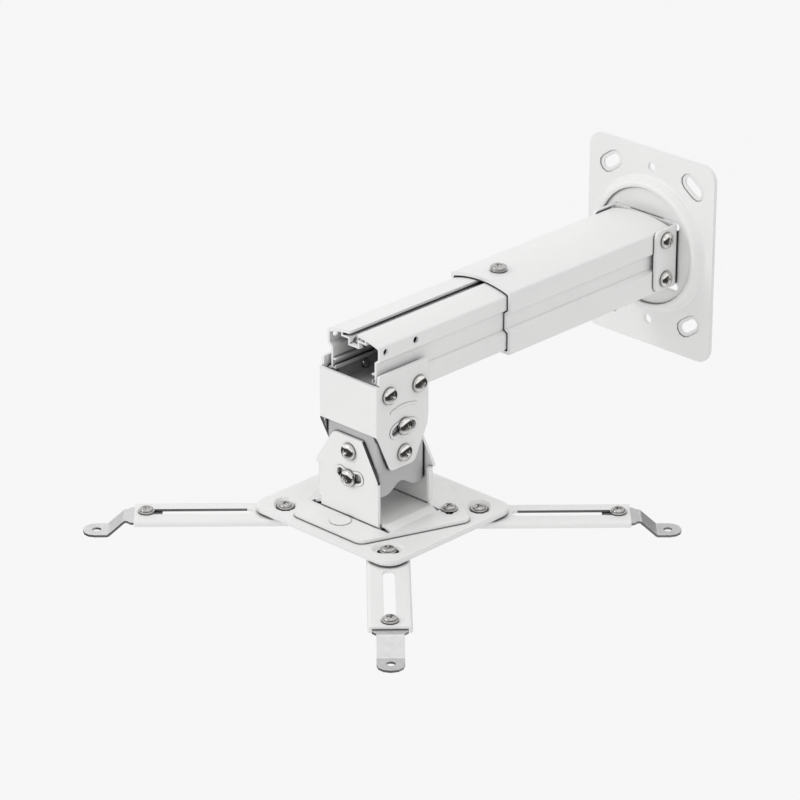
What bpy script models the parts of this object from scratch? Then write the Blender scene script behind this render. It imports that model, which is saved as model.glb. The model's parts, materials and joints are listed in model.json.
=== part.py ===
"""Projector ceiling mount, fixed to a wall: wall plate, telescopic tube, tilting head, four arms.

Metres, +Z up. The origin is on the tube's axis at the wall plate's back face, +Y runs into
the wall and +X to the right, so the tube reaches out along -Y and the projector hangs below.
"""
import math

import bmesh
import bpy
from mathutils import Matrix, Vector

MODEL_NAME = "projector_ceiling_mount"

# General fits
GAP = 0.0003
SCREW_FIT = 0.0003
HOLE_SIDES = 14

# Wall plate: a pressed sheet with a round boss
WALL_WIDTH = 0.0955
WALL_HEIGHT = 0.1224
WALL_DROP = 0.0022
WALL_SHEET = 0.0020
WALL_CORNER = 0.0090
BOSS_RADIUS = 0.0425
BOSS_CREST_WIDTH = 0.0022
BOSS_SLOPE_WIDTH = 0.0045
BOSS_RISE = 0.0055
BOSS_SIDES = 40
WELL_RISE = 0.0032
WALL_SLOT_LENGTH = 0.0140
WALL_SLOT_WIDTH = 0.0062
WALL_SLOT_X = 0.0312
WALL_SLOT_Z = 0.0435
WALL_RECESS_MARGIN = 0.0024
WALL_RECESS_DEPTH = 0.0007
WALL_HOLE_DIAMETER = 0.0056
WALL_HOLE_Z = 0.0478
SWIVEL_SLOT_LENGTH = 0.0144
SWIVEL_SLOT_WIDTH = 0.0054
SWIVEL_SLOT_X = 0.0180
SWIVEL_SLOT_HEIGHTS = (0.0178, -0.0200)

# Tube section: one outline with a crowned top and a guide groove in each side
TUBE_WIDTH = 0.0452
TUBE_SIDE_HEIGHT = 0.0380
TUBE_CROWN = 0.0030
TUBE_CORNER = 0.0006
GROOVE_TOP = 0.0066
GROOVE_BOTTOM = -0.0050
GROOVE_DEPTH = 0.0026
GROOVE_TOP_SLANT = 0.0020
GROOVE_BOTTOM_SLANT = 0.0015
OUTER_WALL = 0.0018
TUBE_CLEARANCE = 0.0008
INNER_WALL = 0.0015

# Tube lengths, measured out from the wall
OUTER_TUBE_START = 0.0105
OUTER_TUBE_LENGTH = 0.1365
INNER_TUBE_REACH = 0.2482
INNER_TUBE_LENGTH = 0.1640

# Screw channel under the inner tube's top, and the screw port ribs on its sides
CHANNEL_SLOT_WIDTH = 0.0060
CHANNEL_WIDE = 0.0192
CHANNEL_WIDE_DEPTH = 0.0046
CHANNEL_NARROW = 0.0084
CHANNEL_NARROW_DEPTH = 0.0038
CHANNEL_WALL = 0.0011
PORT_RIB_LENGTH = 0.0022
PORT_RIB_SHEET = 0.0010
PORT_RIB_HEIGHTS = (-0.0007, -0.0058)

# Tube foot: a folded bracket that turns on the wall plate
FOOT_SHEET = 0.0020
FOOT_EAR_REACH = 0.0252
FOOT_EAR_MARGIN = 0.0003
FOOT_EAR_CORNER = 0.0035
FOOT_BEND = 0.0010
FOOT_SCREW_REACH = 0.0168
FOOT_SCREW_SPACING = 0.0240
SWIVEL_BOLT_DIAMETER = 0.0080
SWIVEL_BOLT_HEAD = 0.0160
SWIVEL_BOLT_HEAD_HEIGHT = 0.0024
SWIVEL_NUT_WIDTH = 0.0130
SWIVEL_NUT_HEIGHT = 0.0065

# Screws
M5 = 0.0050
M5_HEAD = 0.0095
M5_HEAD_HEIGHT = 0.0034
M4 = 0.0040
M4_HEAD = 0.0078
M4_HEAD_HEIGHT = 0.0029
M4_WASHER = 0.0094
WASHER_HEIGHT = 0.0008
SCREW_SIDES = 14
RECESS_ARM = 0.0011
RECESS_DEPTH = 0.0017
NUT_M4_WIDTH = 0.0070
NUT_M4_HEIGHT = 0.0030
THREAD_END = 0.0012

# Telescope lock
LOCK_THREAD = 0.0040
LOCK_SETBACK = 0.0146
SLIDE_NUT_LENGTH = 0.0180
SLIDE_NUT_WIDTH = 0.0140
SLIDE_NUT_STEM = 0.0026

# Head: both tilt axes cross at one point
HEAD_SHEET = 0.0018
HEAD_BEND = 0.0010
PITCH_SETBACK = 0.0211
PITCH_DROP = 0.0503
LOCK_RADIUS = 0.0160
LOCK_HALF_TRAVEL = math.radians(25)
LOCK_RIM = 0.0015
LOCK_RIM_HEIGHT = 0.0004
SCALE_RADIUS = 0.0285
SCALE_WIDTH = 0.0016
SCALE_HALF = math.radians(20)
SCALE_HEIGHT = 0.0003

NECK_LEAD = 0.0049
NECK_CORNER = 0.0010
NECK_DEPTH = 0.0407
NECK_FRONT_TOP = -0.0054
NECK_FRONT_HEIGHT = 0.0298
NECK_EAR_TOP = 0.0004
NECK_EAR_NOTCH = 0.0024
NECK_EAR_BOTTOM = 0.0084
NECK_FOOT_FRONT = 0.0104
NECK_FOOT_BACK = 0.0087
NECK_SHOULDER_DROP = 0.0115
NECK_SCREW_SETBACK = 0.0046
NECK_SCREW_SPACING = 0.0234
NECK_SCREW_DROP = 0.0126
PILOT_HOLE = 0.0040

KNUCKLE_FRONT = 0.0178
KNUCKLE_BACK = 0.0191
KNUCKLE_DROP = 0.0232
KNUCKLE_WALL_TOP = 0.0130
KNUCKLE_LOBE = 0.0068
KNUCKLE_ARCH_HALF = 0.0115
KNUCKLE_ARCH_HEIGHT = 0.0053
KNUCKLE_CORNER = 0.0040
COLLAR_WALL = 0.0012
COLLAR_HEIGHT = 0.0016

LOWER_TOP = 0.0086
LOWER_TOP_HALF = 0.0096
LOWER_HALF_WIDTH = 0.0220
LOWER_SHOULDER = 0.0130
LOWER_CURL_WIDTH = 0.0043
LOWER_CURL_RADIUS = 0.0022
LOWER_CURL_LENGTH = 0.0014
LOWER_CURL_STOP = 0.0340
LOWER_CORNER = 0.0042
LOWER_FLOOR_BEND = 0.0004

# Plates
PLATE_SHEET = 0.0020
PLATE_TOP = -0.0922
PLATE_SETBACK = 0.0058
PLATE_WIDTH = 0.1086
PLATE_DEPTH = 0.1010
PLATE_CORNER = 0.0095
ADAPTER_SHEET = 0.0018
ADAPTER_FRONT = 0.0445
ADAPTER_FRONT_HALF = 0.0262
ADAPTER_BACK = 0.0444
ADAPTER_BACK_HALF = 0.0095
ADAPTER_WIDE_HALF = 0.0505
ADAPTER_WIDE_Y = 0.0187
ADAPTER_CORNER = 0.0050
SLIT_HALF_LENGTH = 0.0297
BRIDGE_FLAT_HALF = 0.0248
MARK_DIAMETER = 0.0122
MARK_Y = -0.0332
MARK_HEIGHT = 0.0004
ADAPTER_SCREW_X = 0.0332
ADAPTER_SCREW_Y = 0.0192
ADAPTER_KEY_LENGTH = 0.0044
DIMPLE_LENGTH = 0.0185
DIMPLE_WIDTH = 0.0130
DIMPLE_LEAN = 0.00175
DIMPLE_DEPTH = 0.0019
CORNER_SLOT_LENGTH = 0.0124
CORNER_SLOT_WIDTH = 0.0056

# Arms and feet, measured out from each arm's corner screw
ARM_PIVOT_X = 0.0400
ARM_PIVOT_Y = 0.0364
ARM_ANGLE = math.radians(45)
ARM_WIDTH = 0.0240
ARM_SHEET = 0.0015
ARM_HEIGHT = 0.0036
ARM_BEND = 0.0005
ARM_TAIL = 0.0100
ARM_TIP = 0.0845
ARM_SLOT_START = 0.0215
ARM_SLOT_WIDTH = 0.0066
CLAMP_REACH = 0.0777
STRAP_SHEET = 0.0015
STRAP_TAIL = 0.0088
STRAP_SHOULDER = 0.0124
STRAP_WIDTH = 0.0150
STRAP_RAMP = 0.0096
STRAP_DROP = 0.0088
STRAP_END = 0.0137
STRAP_HOLE_REACH = 0.0281
STRAP_HOLE = 0.0052
STRAP_TIP_CORNER = 0.0070
STRAP_BEND = 0.0010

# Colours, roughness and metal of the finishes
FINISHES = {
    "white_powder_coat": ((0.86, 0.86, 0.85, 1.0), 0.45, 0.0),
    "nickel_screw": ((0.72, 0.71, 0.69, 1.0), 0.25, 1.0),
    "bright_steel": ((0.62, 0.62, 0.62, 1.0), 0.32, 1.0),
}


# Scene and materials

def clear_scene():
    """Removes every object of the open scene."""
    for item in list(bpy.data.objects):
        bpy.data.objects.remove(item, do_unlink=True)


def make_collection(name):
    """Makes a collection under the scene's own."""
    group = bpy.data.collections.new(name)
    bpy.context.scene.collection.children.link(group)
    return group


def make_material(node_name, finish):
    """Makes a sub-part's own material from one of the finishes."""
    colour, roughness, metallic = FINISHES[finish]
    material = bpy.data.materials.new(f"{node_name}_{finish}")
    material.use_nodes = True
    shader = material.node_tree.nodes["Principled BSDF"]
    shader.inputs["Base Color"].default_value = colour
    shader.inputs["Roughness"].default_value = roughness
    shader.inputs["Metallic"].default_value = metallic
    return material


# Outlines: lists of (u, v) points

def arc_points(centre, radius, start, end, count):
    """Points along an arc, both ends included."""
    step = (end - start) / count
    return [
        (centre[0] + radius * math.cos(start + step * i), centre[1] + radius * math.sin(start + step * i))
        for i in range(count + 1)
    ]


def circle(centre, radius, sides=HOLE_SIDES):
    """A round hole or disc."""
    return arc_points(centre, radius, 0.0, 2 * math.pi * (1 - 1 / sides), sides - 1)


def slot(centre, length, width, angle=0.0, count=5):
    """A straight slot with round ends; length is over its ends."""
    half = length / 2 - width / 2
    across = width / 2
    ends = arc_points((half, 0.0), across, -math.pi / 2, math.pi / 2, count)
    ends += arc_points((-half, 0.0), across, math.pi / 2, 3 * math.pi / 2, count)
    turn = Matrix.Rotation(angle, 2)
    return [tuple(turn @ Vector(point) + Vector(centre)) for point in ends]


def arc_slot(centre, radius, width, middle, half_angle, ends=5, sides=6):
    """A slot that follows an arc about a centre, with round ends."""
    across = width / 2
    first, last = middle - half_angle, middle + half_angle
    points = arc_points(centre, radius + across, first, last, sides)
    tip = (centre[0] + radius * math.cos(last), centre[1] + radius * math.sin(last))
    points += arc_points(tip, across, last, last + math.pi, ends)[1:-1]
    points += arc_points(centre, radius - across, last, first, sides)
    tip = (centre[0] + radius * math.cos(first), centre[1] + radius * math.sin(first))
    points += arc_points(tip, across, first + math.pi, first + 2 * math.pi, ends)[1:-1]
    return points


def rounded(corners, count=3):
    """A polygon from (u, v, radius) corners, each rounded with an arc."""
    points = []
    total = len(corners)
    for index, (u, v, radius) in enumerate(corners):
        here = Vector((u, v))
        if radius <= 0:
            points.append((u, v))
            continue
        before = (Vector(corners[index - 1][:2]) - here).normalized()
        after = (Vector(corners[(index + 1) % total][:2]) - here).normalized()
        half = before.angle(after) / 2
        centre = here + (before + after).normalized() * (radius / math.sin(half))
        start = here + before * (radius / math.tan(half)) - centre
        end = here + after * (radius / math.tan(half)) - centre
        first = math.atan2(start.y, start.x)
        sweep = math.atan2(end.y, end.x) - first
        sweep = (sweep + math.pi) % (2 * math.pi) - math.pi
        points += arc_points(centre, radius, first, first + sweep, count)
    return points


def rectangle(half_width, half_height, radius, centre=(0.0, 0.0), count=3):
    """A rounded rectangle."""
    u, v = centre
    signs = ((-1, -1), (1, -1), (1, 1), (-1, 1))
    return rounded([(u + a * half_width, v + b * half_height, radius) for a, b in signs], count)


def folded_sheet(path, thickness, bend, count=3, outer=None):
    """The section of a folded sheet: an outer path, its bends, and the same path inset to its left.

    The bends' outer radius is the inner one and the sheet, unless it is given.
    """
    wide = bend + thickness if outer is None else outer
    spots = [Vector(point) for point in path]
    inset = []
    for index, spot in enumerate(spots):
        sides = []
        if index > 0:
            sides.append((spot - spots[index - 1]).normalized())
        if index < len(spots) - 1:
            sides.append((spots[index + 1] - spot).normalized())
        normals = [Vector((-side.y, side.x)) for side in sides]
        if len(normals) == 1:
            inset.append(spot + normals[0] * thickness)
        else:
            middle = (normals[0] + normals[1]).normalized()
            inset.append(spot + middle * (thickness / middle.dot(normals[0])))
    outline = []
    last = len(spots) - 1
    for chain, forward in ((spots, True), (inset, False)):
        for index in range(last + 1) if forward else range(last, -1, -1):
            radius = 0.0
            if 0 < index < last:
                turn = (spots[index] - spots[index - 1]).cross(spots[index + 1] - spots[index])
                inside = (turn > 0) != forward
                radius = bend if inside else wide
            outline.append((chain[index].x, chain[index].y, radius))
    return rounded(outline, count)


# Solids

AXIS_FRAMES = {
    "x": Matrix(((0, 0, 1, 0), (1, 0, 0, 0), (0, 1, 0, 0), (0, 0, 0, 1))),
    "y": Matrix(((1, 0, 0, 0), (0, 0, -1, 0), (0, 1, 0, 0), (0, 0, 0, 1))),
    "z": Matrix.Identity(4),
}


def mesh_object(name, mesh):
    """Links a mesh into the scene as a working object."""
    item = bpy.data.objects.new(name, mesh)
    bpy.context.scene.collection.objects.link(item)
    return item


def evaluated_mesh(item):
    """The object's mesh with its modifiers, welded and facing out."""
    bpy.context.view_layer.update()
    depsgraph = bpy.context.evaluated_depsgraph_get()
    mesh = bpy.data.meshes.new_from_object(item.evaluated_get(depsgraph))
    shape = bmesh.new()
    shape.from_mesh(mesh)
    bmesh.ops.remove_doubles(shape, verts=shape.verts, dist=1e-6)
    bmesh.ops.dissolve_degenerate(shape, edges=shape.edges, dist=1e-6)
    bmesh.ops.recalc_face_normals(shape, faces=shape.faces)
    shape.to_mesh(mesh)
    shape.free()
    return mesh


def prism(loops, low, high, axis="z"):
    """Extrudes an outline with holes between two heights along an axis.

    The outline's own axes are (Y, Z) along x, (X, Z) along y and (X, Y) along z.
    """
    flat = bpy.data.curves.new("outline", "CURVE")
    flat.dimensions = "2D"
    flat.fill_mode = "BOTH"
    flat.extrude = (high - low) / 2
    for loop in loops:
        spline = flat.splines.new("POLY")
        spline.points.add(len(loop) - 1)
        for point, (u, v) in zip(spline.points, loop):
            point.co = (u, v, 0.0, 1.0)
        spline.use_cyclic_u = True
    drawn = bpy.data.objects.new("outline", flat)
    bpy.context.scene.collection.objects.link(drawn)
    mesh = evaluated_mesh(drawn)
    bpy.data.objects.remove(drawn, do_unlink=True)
    middle = (high + low) / 2
    lift = middle if axis != "y" else -middle
    mesh.transform(AXIS_FRAMES[axis] @ Matrix.Translation((0, 0, lift)))
    if mesh_volume(mesh) < 0:
        mesh.flip_normals()
    return mesh_object("prism", mesh)


def mesh_volume(mesh):
    """The signed volume that the mesh's faces enclose."""
    shape = bmesh.new()
    shape.from_mesh(mesh)
    volume = shape.calc_volume(signed=True)
    shape.free()
    return volume


def turned(profile, sides=HOLE_SIDES):
    """Turns a closed (radius, height) profile about Z."""
    mesh = bpy.data.meshes.new("turned")
    shape = bmesh.new()
    spots = [shape.verts.new((radius, 0.0, height)) for radius, height in profile]
    for index, spot in enumerate(spots):
        after = spots[(index + 1) % len(spots)]
        if spot.co.x > 0 or after.co.x > 0:
            shape.edges.new((spot, after))
    shape.to_mesh(mesh)
    shape.free()
    item = mesh_object("turned", mesh)
    screw = item.modifiers.new("turn", "SCREW")
    screw.steps = sides
    screw.render_steps = sides
    screw.use_merge_vertices = True
    screw.merge_threshold = 1e-6
    solid = evaluated_mesh(item)
    bpy.data.objects.remove(item, do_unlink=True)
    if mesh_volume(solid) < 0:
        solid.flip_normals()
    return mesh_object("turned", solid)


def rod(radius, low, high, sides=HOLE_SIDES):
    """A plain round bar along Z."""
    bpy.ops.mesh.primitive_cylinder_add(
        vertices=sides, radius=radius, depth=high - low, location=(0, 0, (low + high) / 2)
    )
    item = bpy.context.object
    item.data.transform(item.matrix_world)
    item.matrix_world = Matrix.Identity(4)
    return item


def box(x_span, y_span, z_span):
    """A block between limits along each axis."""
    spans = (x_span, y_span, z_span)
    bpy.ops.mesh.primitive_cube_add(size=1.0)
    item = bpy.context.object
    size = Matrix.Diagonal([high - low for low, high in spans] + [1.0])
    middle = Matrix.Translation([(low + high) / 2 for low, high in spans])
    item.data.transform(middle @ size)
    return item


def moved(item, matrix):
    """Moves the object's mesh itself."""
    item.data.transform(matrix)
    return item


def combine(item, tools, operation):
    """Applies one Boolean to the object with each tool, and removes the tools."""
    for tool in tools:
        step = item.modifiers.new(operation.lower(), "BOOLEAN")
        step.operation = operation
        step.solver = "EXACT"
        step.object = tool
        mesh = evaluated_mesh(item)
        item.modifiers.clear()
        item.data = mesh
        bpy.data.objects.remove(tool, do_unlink=True)
    return item


def cut(item, *tools):
    """Takes the tools out of the object."""
    return combine(item, tools, "DIFFERENCE")


def join(item, *tools):
    """Adds the tools to the object."""
    return combine(item, tools, "UNION")


def trim(item, *tools):
    """Keeps only what lies inside the tools."""
    return combine(item, tools, "INTERSECT")


# Directions that a screw's head can face: its local Z goes there
FACING = {
    "+x": Matrix.Rotation(math.pi / 2, 4, "Y"),
    "-x": Matrix.Rotation(-math.pi / 2, 4, "Y"),
    "+y": Matrix.Rotation(-math.pi / 2, 4, "X"),
    "-y": Matrix.Rotation(math.pi / 2, 4, "X"),
    "+z": Matrix.Identity(4),
    "-z": Matrix.Rotation(math.pi, 4, "X"),
}


def drilled(item, spot, facing, diameter, depth=0.02):
    """Drills a hole through the object at a spot, along a direction."""
    drill = rod(diameter / 2, -depth / 2, depth / 2, HOLE_SIDES)
    moved(drill, Matrix.Translation(spot) @ FACING[facing])
    return cut(item, drill)


class Assembly:
    """Collects the finished pieces, each parented to the empty on its joint's axis."""

    def __init__(self, name):
        self.group = make_collection(name)

    def joint(self, name, spot, parent=None):
        """Places an empty on a joint's axis.

        Args:
            name: the empty's name.
            spot: its place in the world.
            parent: the empty that carries it.

        Returns:
            The empty.
        """
        empty = bpy.data.objects.new(name, None)
        empty.empty_display_size = 0.01
        self.group.objects.link(empty)
        base = Vector((0, 0, 0)) if parent is None else parent.matrix_world.translation
        empty.parent = parent
        empty.location = Vector(spot) - base
        bpy.context.view_layer.update()
        return empty

    def add(self, name, item, finish, carrier, crease=30):
        """Files a finished solid under its name, on the empty that carries it."""
        for group in list(item.users_collection):
            group.objects.unlink(item)
        self.group.objects.link(item)
        item.name = name
        item.data.name = name
        item.data.transform(Matrix.Translation(-carrier.matrix_world.translation))
        item.parent = carrier
        item.data.materials.clear()
        item.data.materials.append(make_material(name, finish))
        item.data.shade_smooth()
        item.data.set_sharp_from_angle(angle=math.radians(crease))
        return item


# Hardware

def pan_screw(diameter, head, head_height, length, washer=0.0):
    """A pan-head screw with a cross recess, over a washer if it has one: its underside lies at Z = 0."""
    radius = head / 2
    foot = WASHER_HEIGHT if washer > 0 else 0.0
    rim = foot + (head_height - foot) * 0.42
    dome = [
        (radius * math.cos(turn), rim + (head_height - rim) * math.sin(turn))
        for turn in (math.radians(angle) for angle in (0, 32, 62))
    ]
    profile = [(0.0, head_height)] + dome[::-1]
    profile += [(radius, foot), (max(radius, washer / 2), foot)] if washer > 0 else []
    profile += [(max(radius, washer / 2), 0.0), (diameter / 2, 0.0)]
    profile += [(diameter / 2, THREAD_END - length), (diameter / 2 - 0.0006, -length), (0.0, -length)]
    item = turned(profile, SCREW_SIDES)
    reach = head * 0.27
    lower, upper = head_height - RECESS_DEPTH, head_height + 0.001
    across = box((-reach, reach), (-RECESS_ARM / 2, RECESS_ARM / 2), (lower, upper))
    along = box((-RECESS_ARM / 2, RECESS_ARM / 2), (-reach, reach), (lower, upper))
    return cut(item, join(across, along))


def hex_nut(width, height, bore):
    """A hexagon nut standing on Z = 0."""
    corner = width / 2 / math.cos(math.pi / 6)
    return prism([circle((0, 0), corner, 6), circle((0, 0), bore / 2, 12)], 0.0, height)


def set_screw(assembly, name, template, spot, facing, carrier):
    """Places a copy of a screw with its head's underside a gap off the sheet."""
    item = mesh_object(name, template.data.copy())
    lift = Matrix.Translation(spot) @ FACING[facing] @ Matrix.Translation((0, 0, GAP))
    return assembly.add(name, moved(item, lift), "nickel_screw", carrier)


# Wall plate

def boss_profile():
    """The pressed boss in section: (radius, height out from the wall), as one closed sheet."""
    crest_outer = BOSS_RADIUS - BOSS_SLOPE_WIDTH
    well = crest_outer - BOSS_CREST_WIDTH
    crest = WALL_SHEET + BOSS_RISE
    bore = SWIVEL_BOLT_DIAMETER / 2 + GAP
    steps = 4
    front = [
        (crest_outer + BOSS_SLOPE_WIDTH * i / steps,
         WALL_SHEET + BOSS_RISE * (1 + math.cos(math.pi * i / steps)) / 2)
        for i in range(steps + 1)
    ]
    back_outer = BOSS_RADIUS - WALL_SHEET * 0.55
    back_inner = crest_outer - WALL_SHEET * 0.25
    slope = [
        (back_outer + (back_inner - back_outer) * i / steps,
         BOSS_RISE * (1 - math.cos(math.pi * i / steps)) / 2)
        for i in range(steps + 1)
    ]
    profile = [(bore, WELL_RISE), (bore, WELL_RISE + WALL_SHEET), (well, WELL_RISE + WALL_SHEET)]
    profile += [(well, crest - 0.0005), (well + 0.0005, crest)] + front
    profile += [(BOSS_RADIUS + 0.0010, WALL_SHEET), (BOSS_RADIUS + 0.0010, 0.0)] + slope
    profile += [(back_inner, WELL_RISE)]
    return profile


def wall_slot_spots():
    """The corner slots' centres, with the turn that sets each across its radius."""
    for side in (-1, 1):
        for level in (-1, 1):
            u, v = side * WALL_SLOT_X, level * WALL_SLOT_Z
            yield (u, v), math.atan2(v, u) + math.pi / 2


def build_wall_plate():
    """The wall plate: a flat sheet with a drawn boss, swivel slots and corner slots."""
    outline = rectangle(WALL_WIDTH / 2, WALL_HEIGHT / 2, WALL_CORNER, (0.0, -WALL_DROP), 5)
    opening = circle((0, 0), BOSS_RADIUS - 0.0002, BOSS_SIDES)
    sheet = prism([outline, opening], -WALL_SHEET, 0.0, "y")
    boss = moved(turned(boss_profile(), BOSS_SIDES), FACING["-y"])
    plate = join(sheet, boss)
    cuts = []
    for spot, turn in wall_slot_spots():
        recess = slot(spot, WALL_SLOT_LENGTH + 2 * WALL_RECESS_MARGIN,
                      WALL_SLOT_WIDTH + 2 * WALL_RECESS_MARGIN, turn)
        cuts.append(prism([recess], -WALL_SHEET - 0.001, -WALL_SHEET + WALL_RECESS_DEPTH, "y"))
        cuts.append(prism([slot(spot, WALL_SLOT_LENGTH, WALL_SLOT_WIDTH, turn)], -0.01, 0.01, "y"))
    for level in (-1, 1):
        cuts.append(prism([circle((0, level * WALL_HOLE_Z), WALL_HOLE_DIAMETER / 2)], -0.01, 0.01, "y"))
    for side in (-1, 1):
        for height in SWIVEL_SLOT_HEIGHTS:
            loop = slot((side * SWIVEL_SLOT_X, height), SWIVEL_SLOT_LENGTH, SWIVEL_SLOT_WIDTH)
            cuts.append(prism([loop], -0.02, 0.01, "y"))
    return cut(plate, *cuts)


def build_swivel_bolt():
    """The flat-head bolt that the tube turns on; its head lies behind the boss."""
    radius = SWIVEL_BOLT_DIAMETER / 2
    head = SWIVEL_BOLT_HEAD / 2
    under = WELL_RISE - GAP
    tip = WELL_RISE + WALL_SHEET + GAP + FOOT_SHEET + GAP + SWIVEL_NUT_HEIGHT + 0.0015
    profile = [(0.0, under - SWIVEL_BOLT_HEAD_HEIGHT), (head, under - SWIVEL_BOLT_HEAD_HEIGHT)]
    profile += [(head, under), (radius, under), (radius, tip - 0.0008), (radius - 0.0008, tip), (0.0, tip)]
    return moved(turned(profile, 24), FACING["-y"])


def foot_base_face():
    """How far out from the wall the tube foot's base starts."""
    return WELL_RISE + WALL_SHEET + GAP


def build_swivel_nut():
    """The hexagon nut that clamps the tube foot."""
    face = foot_base_face() + FOOT_SHEET + GAP
    bore = SWIVEL_BOLT_DIAMETER + 2 * SCREW_FIT
    nut = hex_nut(SWIVEL_NUT_WIDTH, SWIVEL_NUT_HEIGHT, bore)
    return moved(nut, Matrix.Translation((0, -face, 0)) @ FACING["-y"])


def foot_inner_half():
    """Half the width between the foot's ears: the tube and a gap."""
    return TUBE_WIDTH / 2 + GAP


def foot_screw_spots():
    """The (Y, Z) places of the two screws in each ear."""
    middle = TUBE_CROWN / 2
    return [(-FOOT_SCREW_REACH, middle + level * FOOT_SCREW_SPACING / 2) for level in (-1, 1)]


def build_tube_foot():
    """The tube foot: a base with two ears, folded from one sheet."""
    face = foot_base_face()
    half = foot_inner_half() + FOOT_SHEET
    path = [(-half, -FOOT_EAR_REACH), (-half, -face), (half, -face), (half, -FOOT_EAR_REACH)]
    section = folded_sheet(path[::-1], FOOT_SHEET, FOOT_BEND)
    tall = TUBE_SIDE_HEIGHT / 2 - FOOT_EAR_MARGIN
    middle = TUBE_CROWN / 2
    item = prism([section], middle - tall, middle + tall, "z")
    ear = [(-face, middle - tall, 0), (-FOOT_EAR_REACH, middle - tall, FOOT_EAR_CORNER),
           (-FOOT_EAR_REACH, middle + tall, FOOT_EAR_CORNER), (-face, middle + tall, 0)]
    trim(item, prism([rounded(ear)], -2 * half, 2 * half, "x"))
    drilled(item, (0, -face, 0), "+y", SWIVEL_BOLT_DIAMETER + 2 * SCREW_FIT)
    for y, z in foot_screw_spots():
        drilled(item, (0, y, z), "+x", M5 + 2 * SCREW_FIT, 4 * half)
    return item


# Tubes

def crown_height(u, inset):
    """The top face's height above the sides, one even swell from side to side."""
    half = TUBE_WIDTH / 2 - inset - TUBE_CORNER
    return TUBE_CROWN * max(1 - (u / half) ** 2, 0.0)


def tube_outline(inset):
    """The tube's outline, moved inwards by an inset, so that nested tubes keep one clearance."""
    half = TUBE_WIDTH / 2 - inset
    top = TUBE_SIDE_HEIGHT / 2 - inset
    bottom = -TUBE_SIDE_HEIGHT / 2 + inset
    upper_pull = (math.hypot(GROOVE_DEPTH, GROOVE_TOP_SLANT) - GROOVE_TOP_SLANT) / GROOVE_DEPTH
    lower_pull = (math.hypot(GROOVE_DEPTH, GROOVE_BOTTOM_SLANT) - GROOVE_BOTTOM_SLANT) / GROOVE_DEPTH
    upper = GROOVE_TOP + inset * upper_pull
    lower = GROOVE_BOTTOM - inset * lower_pull
    corner = TUBE_CORNER
    side = [
        (half - corner, bottom), (half, bottom + corner), (half, lower),
        (half - GROOVE_DEPTH, lower + GROOVE_BOTTOM_SLANT),
        (half - GROOVE_DEPTH, upper - GROOVE_TOP_SLANT), (half, upper),
        (half, top - corner), (half - corner, top),
    ]
    steps = 8
    swell = [(half - corner) * (1 - i / steps) for i in range(1, steps)]
    side += [(u, top + crown_height(u, inset)) for u in swell]
    return side + [(-u, v) for u, v in reversed(side)]


def inner_inset():
    """How far the inner tube's outline lies inside the outer tube's."""
    return OUTER_WALL + TUBE_CLEARANCE


def plateau(inset):
    """The height of the middle of the top face."""
    return TUBE_SIDE_HEIGHT / 2 - inset + TUBE_CROWN


def build_outer_tube():
    """The outer tube, with tapped holes for the foot's screws and the lock screw."""
    end = -(OUTER_TUBE_START + OUTER_TUBE_LENGTH)
    item = prism([tube_outline(0.0), tube_outline(OUTER_WALL)], end, -OUTER_TUBE_START, "y")
    for y, z in foot_screw_spots():
        drilled(item, (0, y, z), "+x", M5 + 2 * SCREW_FIT, 2 * TUBE_WIDTH)
    spot = (0, end + LOCK_SETBACK, plateau(0.0))
    return drilled(item, spot, "+z", LOCK_THREAD + 2 * SCREW_FIT)


def channel_levels():
    """Heights of the screw channel: roof underside, wide step's underside, narrow step's underside."""
    roof = plateau(inner_inset()) - INNER_WALL
    wide = roof + INNER_WALL - CHANNEL_WIDE_DEPTH
    return roof, wide, wide - CHANNEL_NARROW_DEPTH


def channel_section():
    """The stepped channel that hangs under the inner tube's top, as one bent strip."""
    roof, wide, narrow = channel_levels()
    outer, inner = CHANNEL_WIDE / 2, CHANNEL_NARROW / 2
    thick = CHANNEL_WALL
    hold = roof + INNER_WALL / 8
    right = [(outer, hold), (outer, wide), (inner, wide), (inner, narrow)]
    within = [(inner - thick, narrow + thick), (inner - thick, wide + thick),
              (outer - thick, wide + thick), (outer - thick, hold)]
    left = [(-u, v) for u, v in reversed(right)]
    return right + left + [(-u, v) for u, v in reversed(within)] + within


def port_rib(side, level, lip):
    """A screw port rib on the inside of the side wall; the lower one ends in a lip."""
    face = TUBE_WIDTH / 2 - inner_inset() - GROOVE_DEPTH - INNER_WALL / 2
    if level < GROOVE_BOTTOM:
        face += GROOVE_DEPTH / 2
    tip = TUBE_WIDTH / 2 - inner_inset() - GROOVE_DEPTH - INNER_WALL - PORT_RIB_LENGTH
    half = PORT_RIB_SHEET / 2
    loop = [(side * face, level - half), (side * tip, level - half),
            (side * tip, level + half + lip), (side * (tip + PORT_RIB_SHEET), level + half + lip),
            (side * (tip + PORT_RIB_SHEET), level + half), (side * face, level + half)]
    return loop if side < 0 else loop[::-1]


def neck_screw_reaches():
    """How far out the neck's two screws on each side lie."""
    first = INNER_TUBE_REACH - NECK_SCREW_SETBACK
    return first, first - NECK_SCREW_SPACING


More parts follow.
